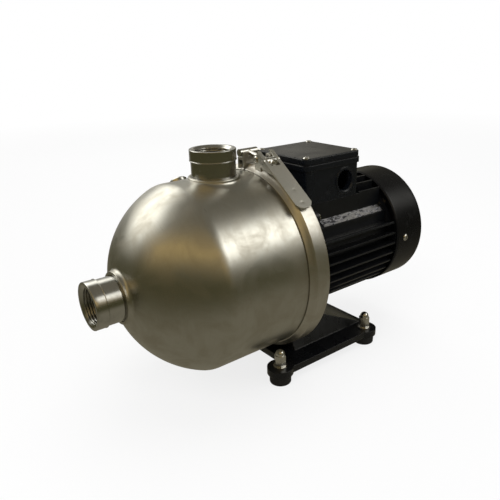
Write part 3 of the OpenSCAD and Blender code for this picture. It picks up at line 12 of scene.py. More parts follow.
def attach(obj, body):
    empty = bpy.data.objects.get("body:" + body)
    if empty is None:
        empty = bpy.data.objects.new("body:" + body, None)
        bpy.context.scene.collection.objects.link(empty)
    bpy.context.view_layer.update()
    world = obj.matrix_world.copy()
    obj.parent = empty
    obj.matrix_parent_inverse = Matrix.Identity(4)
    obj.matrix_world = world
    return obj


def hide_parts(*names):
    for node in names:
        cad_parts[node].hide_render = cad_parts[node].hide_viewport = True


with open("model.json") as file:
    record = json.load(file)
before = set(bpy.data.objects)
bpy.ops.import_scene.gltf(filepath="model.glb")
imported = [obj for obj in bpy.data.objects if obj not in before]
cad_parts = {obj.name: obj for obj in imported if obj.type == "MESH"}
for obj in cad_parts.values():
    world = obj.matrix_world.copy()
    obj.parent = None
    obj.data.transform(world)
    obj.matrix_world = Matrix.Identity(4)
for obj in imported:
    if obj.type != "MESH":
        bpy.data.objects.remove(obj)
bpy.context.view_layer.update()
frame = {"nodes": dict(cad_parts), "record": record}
nodes = frame["nodes"]
print("frame loaded:", len(nodes), "nodes")

mm = 0.001
shaftHeight = 112 * mm
photoSize = 500       # pixels each way
touching = 1e-9       # places closer than this are one place
merged = 1e-7         # points closer than this become one point

camera = {
    "place": (-0.3480, -0.4058, 0.3098),
    "right": (0.7826, -0.6221, -0.0221),
    "up": (0.2394, 0.2679, 0.9332),
    "lens": 38.94,
    "sensor": 36.0,
    "centre": (265.71, 252.57),   # where the optical axis meets the photo, in pixels
    "near": 0.01,
    "far": 20,
}


def makeCamera():
    right, up = Vector(camera["right"]).normalized(), Vector(camera["up"])
    up = (up - right * up.dot(right)).normalized()
    back = right.cross(up)
    data = bpy.data.cameras.new("photoCamera")
    data.lens, data.sensor_width = camera["lens"], camera["sensor"]
    data.shift_x = (photoSize / 2 - camera["centre"][0]) / photoSize
    data.shift_y = (camera["centre"][1] - photoSize / 2) / photoSize
    data.clip_start, data.clip_end = camera["near"], camera["far"]
    made = bpy.data.objects.new("photoCamera", data)
    turn = Matrix((right, up, back)).transposed().to_4x4()
    made.matrix_world = Matrix.Translation(camera["place"]) @ turn
    bpy.context.scene.collection.objects.link(made)
    bpy.context.scene.camera = made


# A value inside a material. Arithmetic on it adds Math nodes
class Level:
    def __init__(self, finish, socket):
        self.finish, self.socket = finish, socket

    def math(self, operation, first, *others):
        inputs = dict(enumerate((first, *others)))
        return self.finish.node("ShaderNodeMath", {"operation": operation}, inputs)

    def __add__(self, other):
        return self.math("ADD", self, other)

    __radd__ = __add__

    def __sub__(self, other):
        return self.math("SUBTRACT", self, other)

    def __rsub__(self, other):
        return self.math("SUBTRACT", other, self)

    def __mul__(self, other):
        return self.math("MULTIPLY", self, other)

    __rmul__ = __mul__

    def __pow__(self, other):
        return self.math("POWER", self, other)

    def sine(self):
        return self.math("SINE", self)

    def rootOf(self):
        return self.math("SQRT", self)

    def size(self):
        return self.math("ABSOLUTE", self)

    def most(self, other):
        return self.math("MAXIMUM", self, other)


# A material, or the world, being built. node() makes every node there is in it
class Finish:
    def __init__(self, name, world=None):
        self.material = world or bpy.data.materials.new(name)
        self.material.use_nodes = True
        self.tree = self.material.node_tree
        self.tree.nodes.clear()

    def node(self, kind, settings=None, inputs=None, output=0):
        made = self.tree.nodes.new(kind)
        for key, value in (settings or {}).items():
            setattr(made, key, value)
        for key, value in (inputs or {}).items():
            if isinstance(value, Level):
                self.tree.links.new(value.socket, made.inputs[key])
            else:
                made.inputs[key].default_value = value
        return Level(self, made.outputs[output] if made.outputs else made)

    def where(self, scale=(1, 1, 1), centre=(0, 0, 0), turn=(0, 0, 0)):
        spot = self.node("ShaderNodeTexCoord", output="Object")
        return self.node("ShaderNodeMapping", {"vector_type": "POINT"},
                         {"Vector": spot, "Location": centre, "Rotation": turn, "Scale": scale})

    def parts(self, vector):
        cut = self.node("ShaderNodeSeparateXYZ", None, {"Vector": vector})
        return [Level(self, out) for out in cut.socket.node.outputs]

    def joined(self, x, y, z):
        return self.node("ShaderNodeCombineXYZ", None, {"X": x, "Y": y, "Z": z})

    def dot(self, first, second):
        return self.node("ShaderNodeVectorMath", {"operation": "DOT_PRODUCT"},
                         {0: first, 1: second}, "Value")

    def noise(self, vector, scale=1.0, detail=2.0, rough=0.5, warp=0.0):
        return self.node("ShaderNodeTexNoise", {"noise_dimensions": "3D"},
                         {"Vector": vector, "Scale": scale, "Detail": detail,
                          "Roughness": rough, "Distortion": warp})

    def cells(self, vector, scale):
        return self.node("ShaderNodeTexVoronoi", {"feature": "F1"},
                         {"Vector": vector, "Scale": scale})

    # level moved from the span low..high to 0..1 and kept there
    def span(self, level, low, high):
        return self.node("ShaderNodeMapRange", {"clamp": True},
                         {0: level, 1: low, 2: high, 3: 0.0, 4: 1.0})

    # inputs 6 and 7 and output 2 are the node's colours
    def mix(self, share, first, second):
        return self.node("ShaderNodeMix", {"data_type": "RGBA", "blend_type": "MIX"},
                         {0: share, 6: full(first), 7: full(second)}, 2)

    # rounded edges seen by the light alone, then bumps on top of them
    def bump(self, height, depth, radius=0.0):
        inputs = {"Height": height, "Strength": 1.0, "Distance": depth}
        if radius:
            inputs["Normal"] = self.node("ShaderNodeBevel", {"samples": 6}, {"Radius": radius})
        return self.node("ShaderNodeBump", None, inputs)

    def done(self, inputs):
        shader = self.node("ShaderNodeBsdfPrincipled", None,
                           {key: full(value) if key == "Base Color" else value
                            for key, value in inputs.items()})
        self.node("ShaderNodeOutputMaterial", None, {"Surface": shader})
        return self.material


def full(colour):
    return colour if isinstance(colour, Level) else (*colour[:3], 1.0)


# brushed steels: lines a metre, depth of the grooves, strength of the smudges, rounding of edges
steel = {
    "sleeve": dict(colour=(0.56, 0.552, 0.51), rough=0.25, smudge=0.75),
    "strip": dict(colour=(0.6, 0.585, 0.545), rough=0.29, lines=500.0, grooves=0.005 * mm,
                  smudge=0.7, edge=0.3 * mm),
    "stage": dict(colour=(0.60, 0.59, 0.57), rough=0.25, lines=700.0, grooves=0.008 * mm,
                  smudge=0.2),
    "lever": dict(colour=(0.74, 0.735, 0.7), rough=0.3, lines=500.0, grooves=0.005 * mm,
                  smudge=0.5, edge=0.3 * mm),
}

# what all brushed steels share
brush = {
    "fineRound": 9.0, "fine": dict(detail=4.0, rough=0.65),
    "fineSpan": (0.3, 0.7), "fineShare": 0.18, "fineTone": 0.8,
    "broadLines": 160.0, "broadRound": 4.0, "broadShare": 0.6,
    "cloud": dict(scale=40.0, detail=5.0, rough=0.65, warp=0.6), "handled": (0.42, 0.64),
    "smudgeShare": 0.5, "smudgeTone": (0.72, 0.66, 0.58),
    "scratch": dict(scale=(60, 700, 260), turn=(0.4, 0.2, 0.9)), "scratchSpan": (0.71, 0.76),
    "scratchShare": 0.15,
    "fineRough": 0.08, "smudgeRough": 0.16, "scratchRough": 0.05,
}

# the two shallow punch marks in the lever
dent = {
    "radius": 2.4 * mm, "deep": 0.2 * mm,
    "places": [(-41.0 * mm, -55.8 * mm, 190.0 * mm), (-42.3 * mm, -67.8 * mm, 181.1 * mm)],
}


# Metal brushed along rings round the shaft. The line pattern runs with x plus the distance from
# the shaft, so it follows both barrel and dome; smudges and scratches lie over it, and each dent
# is a cone of depth that fades to nothing at its radius
def ringBrushed(name, colour, rough, lines=900.0, grooves=0.0025 * mm, smudge=0.5, edge=0.0,
                dents=()):
    f, b = Finish(name), brush
    x, y, z = f.parts(f.where())
    up = z - shaftHeight
    along = x + (y * y + up * up).rootOf()
    fine = f.noise(f.joined(along * lines, y * b["fineRound"], up * b["fineRound"]), **b["fine"])
    broad = f.noise(f.joined(along * b["broadLines"], y * b["broadRound"], up * b["broadRound"]))
    handled = f.span(f.noise(f.where(), **b["cloud"]), *b["handled"])
    scratched = f.span(f.noise(f.where(**b["scratch"])), *b["scratchSpan"])
    relief = fine + broad * b["broadShare"] + scratched * b["scratchShare"]
    for place in dents:
        away = ((x - place[0]) ** 2 + (y - place[1]) ** 2 + (z - place[2]) ** 2).rootOf()
        relief = relief - f.span(away, dent["radius"], 0.0) * (dent["deep"] / grooves)
    shade = f.mix(f.span(fine, *b["fineSpan"]) * b["fineShare"], colour,
                  np.multiply(colour, b["fineTone"]))
    shade = f.mix(handled * smudge * b["smudgeShare"], shade,
                  np.multiply(colour, b["smudgeTone"]))
    return f.done({
        "Base Color": shade,
        "Metallic": 1.0,
        "Roughness": (rough + fine * b["fineRough"] + handled * (smudge * b["smudgeRough"])
                      + scratched * b["scratchRough"]),
        "Normal": f.bump(relief, grooves, edge),
    })


turned = {
    "port": dict(colour=(0.57, 0.565, 0.54), rough=0.15),
    "shaft": dict(colour=(0.62, 0.61, 0.6), rough=0.16),
    "bearing": dict(colour=(0.7, 0.7, 0.7), rough=0.1),
}

lathe = {
    "lines": 2600.0, "ring": dict(detail=3.0, rough=0.6), "ringRough": 0.06,
    "depth": 0.012 * mm, "edge": 0.3 * mm,
    "cloud": dict(scale=90.0, detail=3.0, rough=0.55), "worn": (0.52, 0.75),
    "wornShare": 0.5, "wornTone": 0.7, "wornRough": 0.08,
}


# Metal turned in a lathe: fine rings across the axis given by its letter, worn spots over them
def turnedSteel(name, axis, colour, rough):
    f, t = Finish(name), lathe
    along = f.parts(f.where())["xyz".index(axis)]
    rings = f.noise(f.joined(along * t["lines"], 0.0, 0.0), **t["ring"])
    worn = f.span(f.noise(f.where(), **t["cloud"]), *t["worn"])
    return f.done({
        "Base Color": f.mix(worn * t["wornShare"], colour, np.multiply(colour, t["wornTone"])),
        "Metallic": 1.0,
        "Roughness": rough + rings * t["ringRough"] + worn * t["wornRough"],
        "Normal": f.bump(rings, t["depth"], t["edge"]),
    })


zinc = {
    "colour": (0.64, 0.63, 0.6), "rough": 0.18, "crystals": 900.0,
    "cloud": dict(scale=160.0, detail=4.0, rough=0.6), "dull": (0.48, 0.7),
    "dullShare": 0.55, "dullTone": 0.66, "dullRough": 0.2, "crystalRough": 0.08,
    "crystalHigh": 0.4, "depth": 0.01 * mm, "edge": 0.25 * mm,
}


# Bright zinc plate: faint crystals, dull spots where it was handled
def plated(name):
    f, p = Finish(name), zinc
    grain = f.cells(f.where(), p["crystals"])
    cloud = f.noise(f.where(), **p["cloud"])
    dull = f.span(cloud, *p["dull"])
    return f.done({
        "Base Color": f.mix(dull * p["dullShare"], p["colour"],
                            np.multiply(p["colour"], p["dullTone"])),
        "Metallic": 1.0,
        "Roughness": p["rough"] + dull * p["dullRough"] + grain * p["crystalRough"],
        "Normal": f.bump(grain * p["crystalHigh"] + cloud, p["depth"], p["edge"]),
    })


# black coats: bumps of the peel a metre and their depth, share of dust, rounding of edges
black = {
    "casting": dict(colour=(0.004, 0.0042, 0.005), rough=0.33, peel=700.0, depth=0.04 * mm,
                    dust=0.2),
    "housing": dict(colour=(0.004, 0.0045, 0.0055), rough=0.26, peel=900.0, depth=0.02 * mm,
                    dust=0.2),
    "sheet": dict(colour=(0.003, 0.003, 0.0034), rough=0.22, peel=1500.0, depth=0.012 * mm,
                  dust=0.2, edge=0.8 * mm, shine=0.2),
    "plate": dict(colour=(0.004, 0.0043, 0.005), rough=0.2, peel=800.0, depth=0.016 * mm,
                  dust=0.2, edge=1.4 * mm),
    "box": dict(colour=(0.004, 0.005, 0.007), rough=0.22, peel=1400.0, depth=0.009 * mm,
                dust=0.15, edge=1.4 * mm),
    "fan": dict(colour=(0.01, 0.01, 0.01), rough=0.45, peel=1200.0, depth=0.01 * mm, dust=0.1),
}

# what all black coats share
coat = {
    "cloud": dict(scale=26.0, detail=5.0, rough=0.65, warp=0.6),
    "dulled": (0.3, 0.8), "dulledRough": 0.14,
    "facing": (0.2, 0.95), "dusty": (0.42, 0.75), "dustShare": 0.3, "dustRough": 0.3,
    "dustColour": (0.07, 0.068, 0.065),
    "rub": dict(scale=120.0, detail=3.0, rough=0.7), "rubbed": (0.58, 0.7), "rubShare": 0.08,
    "rubRough": 0.05, "rubColour": (0.05, 0.049, 0.047),
}


# Black paint or plastic: a fine orange peel, paler dust on what faces up, rubbed spots
def blackCoat(name, colour, rough, peel, depth, dust, edge=0.5 * mm, shine=0.35):
    f, c = Finish(name), coat
    skin = f.noise(f.where(), peel)
    cloud = f.noise(f.where(), **c["cloud"])
    facing = f.parts(f.node("ShaderNodeNewGeometry", output="Normal"))[2]
    dusty = f.span(facing, *c["facing"]) * f.span(cloud, *c["dusty"]) * dust
    rub = f.span(f.noise(f.where(), **c["rub"]), *c["rubbed"])
    shade = f.mix(dusty * c["dustShare"], colour, c["dustColour"])
    shade = f.mix(rub * c["rubShare"], shade, c["rubColour"])
    return f.done({
        "Base Color": shade,
        "Roughness": (rough + f.span(cloud, *c["dulled"]) * c["dulledRough"]
                      + dusty * c["dustRough"] + rub * c["rubRough"]),
        "Normal": f.bump(skin, depth, edge),
        "Specular IOR Level": shine,
    })


rubber = {
    "seal": (0.02, 0.02, 0.021), "foot": (0.006, 0.006, 0.0065), "chalk": (0.025, 0.024, 0.023),
    "grain": dict(scale=900.0, detail=3.0, rough=0.6), "depth": 0.04 * mm, "edge": 0.3 * mm,
    "cloud": dict(scale=70.0, detail=4.0, rough=0.6), "chalky": (0.45, 0.75),
    "chalkShare": 0.5, "rough": 0.62, "cloudRough": 0.2,
}


# Rubber: a fine grain, and clouds where its colour goes at most half way to chalk
def rubberSkin(name, colour):
    f, r = Finish(name), rubber
    skin = f.noise(f.where(), **r["grain"])
    cloud = f.noise(f.where(), **r["cloud"])
    return f.done({
        "Base Color": f.mix(f.span(cloud, *r["chalky"]) * r["chalkShare"], colour, r["chalk"]),
        "Roughness": r["rough"] + cloud * r["cloudRough"],
        "Normal": f.bump(skin, r["depth"], r["edge"]),
    })


foil = {
    "flakes": (150, 420, 420), "flake": dict(detail=6.0, rough=0.72, warp=0.8),
    "blots": (55, 160, 160), "blot": dict(detail=4.0, rough=0.6, warp=0.4),
    "blotShare": 0.7, "lost": (0.86, 0.93),
    "creases": (300, 900, 900), "crease": dict(detail=3.0, rough=0.6), "creased": (0.35, 0.65),
    "bright": (0.78, 0.78, 0.8), "dim": (0.5, 0.5, 0.53),
    "bare": (0.02, 0.02, 0.022), "rough": 0.28, "creaseRough": 0.25, "lostRough": 0.2,
    "lostDeep": 0.8, "depth": 0.06 * mm,
}


# Bare foil with the black of the housing showing through where it has flaked: lost where the sum
# of small flakes and large blots is high
def wornFoil(name):
    f, w = Finish(name), foil
    flakes = f.noise(f.where(w["flakes"]), **w["flake"])
    blots = f.noise(f.where(w["blots"]), **w["blot"])
    lost = f.span(flakes + blots * w["blotShare"], *w["lost"])
    crease = f.noise(f.where(w["creases"]), **w["crease"])
    shade = f.mix(f.span(crease, *w["creased"]), w["bright"], w["dim"])
    return f.done({
        "Base Color": f.mix(lost, shade, w["bare"]),
        "Metallic": 1.0 - lost,
        "Roughness": w["rough"] + crease * w["creaseRough"] + lost * w["lostRough"],
        "Normal": f.bump(crease - lost * w["lostDeep"], w["depth"]),
    })


plain = {
    "block": dict(colour=(0.35, 0.34, 0.32), rough=0.5),
    "ring": dict(colour=(0.72, 0.7, 0.64), rough=0.4, deep=0.85),
    "brass": dict(colour=(0.78, 0.57, 0.25), rough=0.22, metal=1.0),
    "face": dict(colour=(0.12, 0.12, 0.125), rough=0.25, metal=0.3),
}

# what all plain matter shares
matter = {
    "grain": dict(scale=600.0, detail=3.0, rough=0.6), "depth": 0.02 * mm, "edge": 0.3 * mm,
    "cloud": dict(scale=60.0, detail=4.0, rough=0.6), "deepened": (0.35, 0.7),
    "dulled": (0.3, 0.8), "dulledRough": 0.15,
}


# Plain moulded or machined matter of the inside: a colour, a grain and a cloud over it
def plainMatter(name, colour, rough, metal=0.0, deep=0.75):
    f, m = Finish(name), matter
    skin = f.noise(f.where(), **m["grain"])
    cloud = f.noise(f.where(), **m["cloud"])
    return f.done({
        "Base Color": f.mix(f.span(cloud, *m["deepened"]), colour, np.multiply(colour, deep)),
        "Metallic": metal,
        "Roughness": rough + f.span(cloud, *m["dulled"]) * m["dulledRough"],
        "Normal": f.bump(skin, m["depth"], m["edge"]),
    })


lamination = {
    "thick": 0.5 * mm, "colour": (0.36, 0.36, 0.37), "metal": 0.8, "rough": 0.4,
    "gap": (0.2, 0.9), "gapColour": (0.1, 0.1, 0.1), "gapShare": 0.6, "gapDeep": 0.04 * mm,
    "cloud": dict(scale=80.0, detail=3.0, rough=0.6), "cloudShare": 0.3, "cloudRough": 0.2,
    "edge": 0.3 * mm,
}


# Thin sheets stacked along the shaft: a sine along x leaves a dark gap at each sheet
def stackedSheet(name):
    f, s = Finish(name), lamination
    x = f.parts(f.where())[0]
    gaps = f.span((x * (2 * math.pi / s["thick"])).sine(), *s["gap"])
    cloud = f.noise(f.where(), **s["cloud"])
    return f.done({
        "Base Color": f.mix(gaps * s["gapShare"] + cloud * s["cloudShare"], s["colour"],
                            s["gapColour"]),
        "Metallic": s["metal"],
        "Roughness": s["rough"] + cloud * s["cloudRough"],
        "Normal": f.bump(1.0 - gaps, s["gapDeep"], s["edge"]),
    })


copper = {
    "turns": 4200.0, "bends": 120.0, "wander": 5.0, "ridge": (-0.6, 0.6), "depth": 0.12 * mm,
    # low is the painted shade in the grooves, high the painted highlight on the crests
    "low": (0.25, 0.09, 0.035), "high": (0.62, 0.3, 0.13),
    "metal": 0.85, "rough": 0.3, "wanderRough": 0.2,
}


# Wire laid side by side: ridges as a sine of y plus z that wander a little, with painted shade
# in the grooves between the wires and a painted highlight on their crests
def laidWire(name):
    f, c = Finish(name), copper
    y, z = f.parts(f.where())[1:]
    wander = f.noise(f.where(), c["bends"])
    turns = ((y + z) * c["turns"] + wander * c["wander"]).sine()
    return f.done({
        # painted shade and highlight: the colour goes dark in the grooves and bright on the crests
        "Base Color": f.mix(f.span(turns, *c["ridge"]), c["low"], c["high"]),
        "Metallic": c["metal"],
        "Roughness": c["rough"] + wander * c["wanderRough"],
        "Normal": f.bump(turns, c["depth"]),
    })


# One finish for each material slot of the record, put on the CAD nodes that have it
def makeFinishes():
    made = {
        "satin_steel": ringBrushed("satinSteel", **steel["sleeve"]),
        "turned_steel": turnedSteel("turnedSteel", "z", **turned["port"]),
        "clamp_steel": ringBrushed("clampSteel", **steel["strip"]),
        "stage_steel": ringBrushed("stageSteel", **steel["stage"]),
        "shaft_steel": turnedSteel("shaftSteel", "x", **turned["shaft"]),
        "bearing_steel": turnedSteel("bearingSteel", "x", **turned["bearing"]),
        "zinc_steel": plated("zincSteel"),
        "lamination_steel": stackedSheet("laminationSteel"),
        "copper_wire": laidWire("copperWire"),
        "black_casting": blackCoat("blackCasting", **black["casting"]),
        "black_aluminium": blackCoat("blackAluminium", **black["housing"]),
        "black_sheet": blackCoat("blackSheet", **black["sheet"]),
        "black_plate": blackCoat("blackPlate", **black["plate"]),
        "box_plastic": blackCoat("boxPlastic", **black["box"]),
        "block_plastic": plainMatter("blockPlastic", **plain["block"]),
        "fan_plastic": blackCoat("fanPlastic", **black["fan"]),
        "ring_plastic": plainMatter("ringPlastic", **plain["ring"]),
        "stud_brass": plainMatter("studBrass", **plain["brass"]),
        "seal_face": plainMatter("sealFace", **plain["face"]),
        "seal_rubber": rubberSkin("sealRubber", rubber["seal"]),
        "foot_rubber": rubberSkin("footRubber", rubber["foot"]),
        "worn_foil": wornFoil("wornFoil"),
    }
    for row in frame["record"]["subparts"]:
        shown = nodes[row["node"]].data
        shown.materials.clear()
        shown.materials.append(made[row["material_slot"]])
    lever = ringBrushed("leverSteel", **steel["lever"], dents=dent["places"])
    nodes["lever"].data.materials[0] = lever
    return made


# Quads of a grid with the given rows and columns, each direction closed into a ring or not
def gridFaces(rows, columns, ringRows, ringColumns):
    i = np.arange(rows if ringRows else rows - 1)[:, None]
    j = np.arange(columns if ringColumns else columns - 1)[None, :]
    below, beside = (i + 1) % rows, (j + 1) % columns
    corners = [i * columns + j, i * columns + beside, below * columns + beside,
               below * columns + j]
    return np.stack(np.broadcast_arrays(*corners), -1).reshape(-1, 4)


# Angles all round, without the last that would lie on the first
def allRound(count):
    return np.linspace(0, 2 * math.pi, count, endpoint=False)


# Outline of (along, out) pairs carried round the shaft line: the point of angle a is
# (along, out * sin a, shaft height + out * cos a)
def turnedRound(outline, angles):
    along, out = np.asarray(outline, float).T
    grid = np.empty((len(along), len(angles), 3))
    grid[..., 0] = along[:, None]
    grid[..., 1] = out[:, None] * np.sin(angles)
    grid[..., 2] = shaftHeight + out[:, None] * np.cos(angles)
    return grid


# Outline of (along, out) pairs turned about an upright line through place
def turnedUpright(outline, angles, place):
    along, out = np.asarray(outline, float).T
    grid = np.empty((len(along), len(angles), 3))
    grid[..., 0] = place[0] + out[:, None] * np.cos(angles)
    grid[..., 1] = place[1] + out[:, None] * np.sin(angles)
    grid[..., 2] = along[:, None]
    return grid


# Points on an arc of (along, out) pairs from one angle to another, in degrees
def arc(centre, radius, start, end, count):
    a = np.radians(np.linspace(start, end, count))
    return np.stack([centre[0] + radius * np.cos(a), centre[1] + radius * np.sin(a)], 1)


# Straight run of points between two ends, both included
def run(first, last, step):
    first, last = np.asarray(first, float), np.asarray(last, float)
    count = max(2, int(np.ceil(np.linalg.norm(last - first) / step)) + 1)
    return first + (last - first) * np.linspace(0, 1, count)[:, None]


# Quadratic curve from first to last, drawn towards middle, at the shares t of its way
def quadratic(first, middle, last, t):
    return (1 - t) ** 2 * first + 2 * t * (1 - t) * middle + t ** 2 * last


# Mesh piece on the body that stands still, in the place of a CAD node. Edges sharper than the
# crease, in degrees, stay sharp
def makePiece(name, grid, faces, finish, node, crease):
    mesh = bpy.data.meshes.new(name)
    mesh.from_pydata(grid.reshape(-1, 3).tolist(), [], faces.tolist())
    work = bmesh.new()
    work.from_mesh(mesh)
    bmesh.ops.remove_doubles(work, verts=work.verts, dist=merged)
    bmesh.ops.recalc_face_normals(work, faces=work.faces)
    work.to_mesh(mesh)
    work.free()
    mesh.polygons.foreach_set("use_smooth", np.ones(len(mesh.polygons), bool))
    mesh.set_sharp_from_angle(angle=math.radians(crease))
    mesh.materials.append(finish)
    made = bpy.data.objects.new(name, mesh)
    bpy.context.scene.collection.objects.link(made)
    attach(made, "frame")
    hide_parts(node)
    return made


# Gives an open skin its wall, inwards
def thicken(piece, thickness):
    wall = piece.modifiers.new("wall", "SOLIDIFY")
    wall.thickness, wall.offset = thickness, -1


sleeve = {
    "radius": 87.5 * mm, "wall": 1.5 * mm, "jointX": -41 * mm, "tangentX": -127.2 * mm,
    "crown": 93.4 * mm, "knuckle": 22 * mm,
    "collar": 23.6 * mm, "collarLip": 1.2 * mm, "collarFillet": 3.4 * mm,
    "collarRound": 0.7 * mm,
    "hole": 20.75 * mm, "flange": 89.2 * mm, "flangeThick": 2.8 * mm,
    "columns": 240, "roundPoints": 7, "filletPoints": 12, "crownPoints": 74, "knucklePoints": 34,
    "lipStep": 0.5 * mm, "barrelStep": 1.5 * mm, "flangeStep": 1.0 * mm, "crease": 40,
}


# Half section of the skin from the suction hole to the joint: lip, fillet, crown arc, knuckle
# arc, barrel, flange
def sleeveOutline():
    s = sleeve
    drop = s["radius"] - s["knuckle"]
    crownX = s["tangentX"] + math.sqrt((s["crown"] - s["knuckle"]) ** 2 - drop ** 2)
    apexX = crownX - s["crown"]
    lipX = apexX - s["collarLip"]
    roundR, fillet = s["collarRound"], s["collarFillet"]
    # the fillet circle touches the collar's side and the crown
    filletOut = s["collar"] + fillet
    filletX = crownX - math.sqrt((s["crown"] + fillet) ** 2 - filletOut ** 2)
    touch = math.degrees(math.atan2(filletOut, filletX - crownX))
    lean = math.degrees(math.atan2(-filletOut, crownX - filletX))
    meet = math.degrees(math.atan2(drop, s["tangentX"] - crownX))
    flangeX = s["jointX"] - s["flangeThick"]
    return np.vstack([
        run((lipX, s["hole"]), (lipX, s["collar"] - roundR), s["lipStep"]),
        arc((lipX + roundR, s["collar"] - roundR), roundR, 180, 90, s["roundPoints"]),
        arc((filletX, filletOut), fillet, -90, lean, s["filletPoints"]),
        arc((crownX, 0), s["crown"], touch, meet, s["crownPoints"]),
        arc((s["tangentX"], drop), s["knuckle"], meet, 90, s["knucklePoints"]),
        run((s["tangentX"], s["radius"]), (flangeX, s["radius"]), s["barrelStep"]),
        run((flangeX, s["flange"]), (s["jointX"], s["flange"]), s["flangeStep"]),
    ])


# the upright openings in the barrel, each turned round the shaft: cut is the hole left in the
# skin, hole the one in its collar
openings = {
    "discharge": dict(x=-88.1 * mm, turn=0.0, cut=17.5 * mm, hole=20.75 * mm, rim=23.6 * mm,
                      top=89.2 * mm, reach=7.5 * mm, lip=1.4 * mm),
    "fill": dict(x=-95 * mm, turn=math.radians(36), cut=8.6 * mm, hole=6.8 * mm, rim=11 * mm,
                 top=89.1 * mm, reach=3.2 * mm, lip=0.5 * mm),
    "drain": dict(x=-95 * mm, turn=math.pi, cut=8.6 * mm, hole=6.8 * mm, rim=11 * mm,
                  top=89.1 * mm, reach=3.2 * mm, lip=0.5 * mm),
}

collar = {
    "columns": 144, "lipRows": 6, "flareRows": 22, "crease": 40,
    "bendRise": 0.04 * mm,   # how far the flare's bend stands above the barrel
    "sunk": 0.7 * mm,        # how far its inside lies below the barrel's skin
}


# Height of the barrel's skin above the shaft at a distance to the side
def barrelHeight(side):
    return np.sqrt(sleeve["radius"] ** 2 - side ** 2)


# Collar drawn up out of the barrel round an upright hole: rim, rounded lip, then for each angle a
# quadratic curve that leaves the lip straight down and runs out along the barrel
def drawnCollar(name, finish, opening):
    o, c = opening, collar
    rim, top, lip = o["rim"], o["top"], o["lip"]
    a = allRound(c["columns"])[None, :]
    one = np.ones_like(a)
    lipTurn = np.radians(np.linspace(90, 0, c["lipRows"]))[:, None]
    t = np.linspace(0, 1, c["flareRows"])[1:, None]
    footOut = rim + o["reach"]
    footUp = barrelHeight(footOut * np.sin(a))
    bendUp = barrelHeight(rim * np.sin(a)) + c["bendRise"]
    out = np.vstack([
        o["hole"] * one, (rim - lip + lip * np.cos(lipTurn)) * one,
        quadratic(rim, rim, footOut, t) * one, footOut * one, o["hole"] * one,
    ])
    up = np.vstack([
        top * one, (top - lip + lip * np.sin(lipTurn)) * one,
        quadratic(top - lip, bendUp, footUp, t),
        footUp - c["sunk"], barrelHeight(o["hole"] * np.sin(a)) - c["sunk"],
    ])
    along, side = o["x"] + out * np.cos(a), out * np.sin(a)
    cosTurn, sinTurn = math.cos(o["turn"]), math.sin(o["turn"])
    grid = np.stack([along, side * cosTurn + up * sinTurn,
                     shaftHeight + up * cosTurn - side * sinTurn], -1)
    faces = gridFaces(*grid.shape[:2], True, True)
    makePiece(name, grid, faces, finish, "pump_sleeve", c["crease"])


# The outline turned round the shaft, without the faces that lie in an opening
def makeSleeve(finish):
    outline = sleeveOutline()
    angles = allRound(sleeve["columns"])
    grid = turnedRound(outline, angles)
    faces = gridFaces(len(outline), len(angles), False, True)
    middle = grid.reshape(-1, 3)[faces].mean(1)
    across, height = middle[:, 1], middle[:, 2] - shaftHeight
    keep = np.ones(len(faces), bool)
    for o in openings.values():
        cosTurn, sinTurn = math.cos(o["turn"]), math.sin(o["turn"])
        side, up = across * cosTurn - height * sinTurn, height * cosTurn + across * sinTurn
        keep &= (np.hypot(middle[:, 0] - o["x"], side) > o["cut"]) | (up < 0)
    skin = makePiece("pumpSleeveSkin", grid, faces[keep], finish, "pump_sleeve",
                     sleeve["crease"])
    thicken(skin, sleeve["wall"])
    for name, o in openings.items():
        drawnCollar(name + "Collar", finish, o)


socket = {
    "radius": 21 * mm, "bore": 15.15 * mm, "bead": 0.35 * mm, "beadGap": 0.3 * mm,
    "root": 16.55 * mm, "pitch": 2.309 * mm, "pitchRows": 12,
    "threadLong": 17 * mm, "threadStartShare": 0.2, "throat": 14.2 * mm, "throatGap": 0.4 * mm,
    "mouth": 18.4 * mm, "mouthDeep": 2.4 * mm, "band": 10.1 * mm, "step": 0.8 * mm,
    "edge": 0.6 * mm, "groove": 0.9 * mm,
    # where the groove before the foot starts, is deep and ends, measured from the foot
    "grooveStart": 1.1 * mm, "grooveDeep": 0.9 * mm, "grooveEnd": 0.2 * mm,
    "flank": 1.25, "crest": 0.12,   # slope and flat top of the thread's wave
    "columns": 144, "edgePoints": 6, "beadPoints": 8, "shortStep": 1 * mm, "longStep": 4 * mm,
    "crease": 38,
}

ports = {
    "suction": dict(face=-217.8 * mm, length=30.1 * mm, foot=24.4 * mm),
    "discharge": dict(face=225.5 * mm, length=30.5 * mm, foot=24.2 * mm),
}


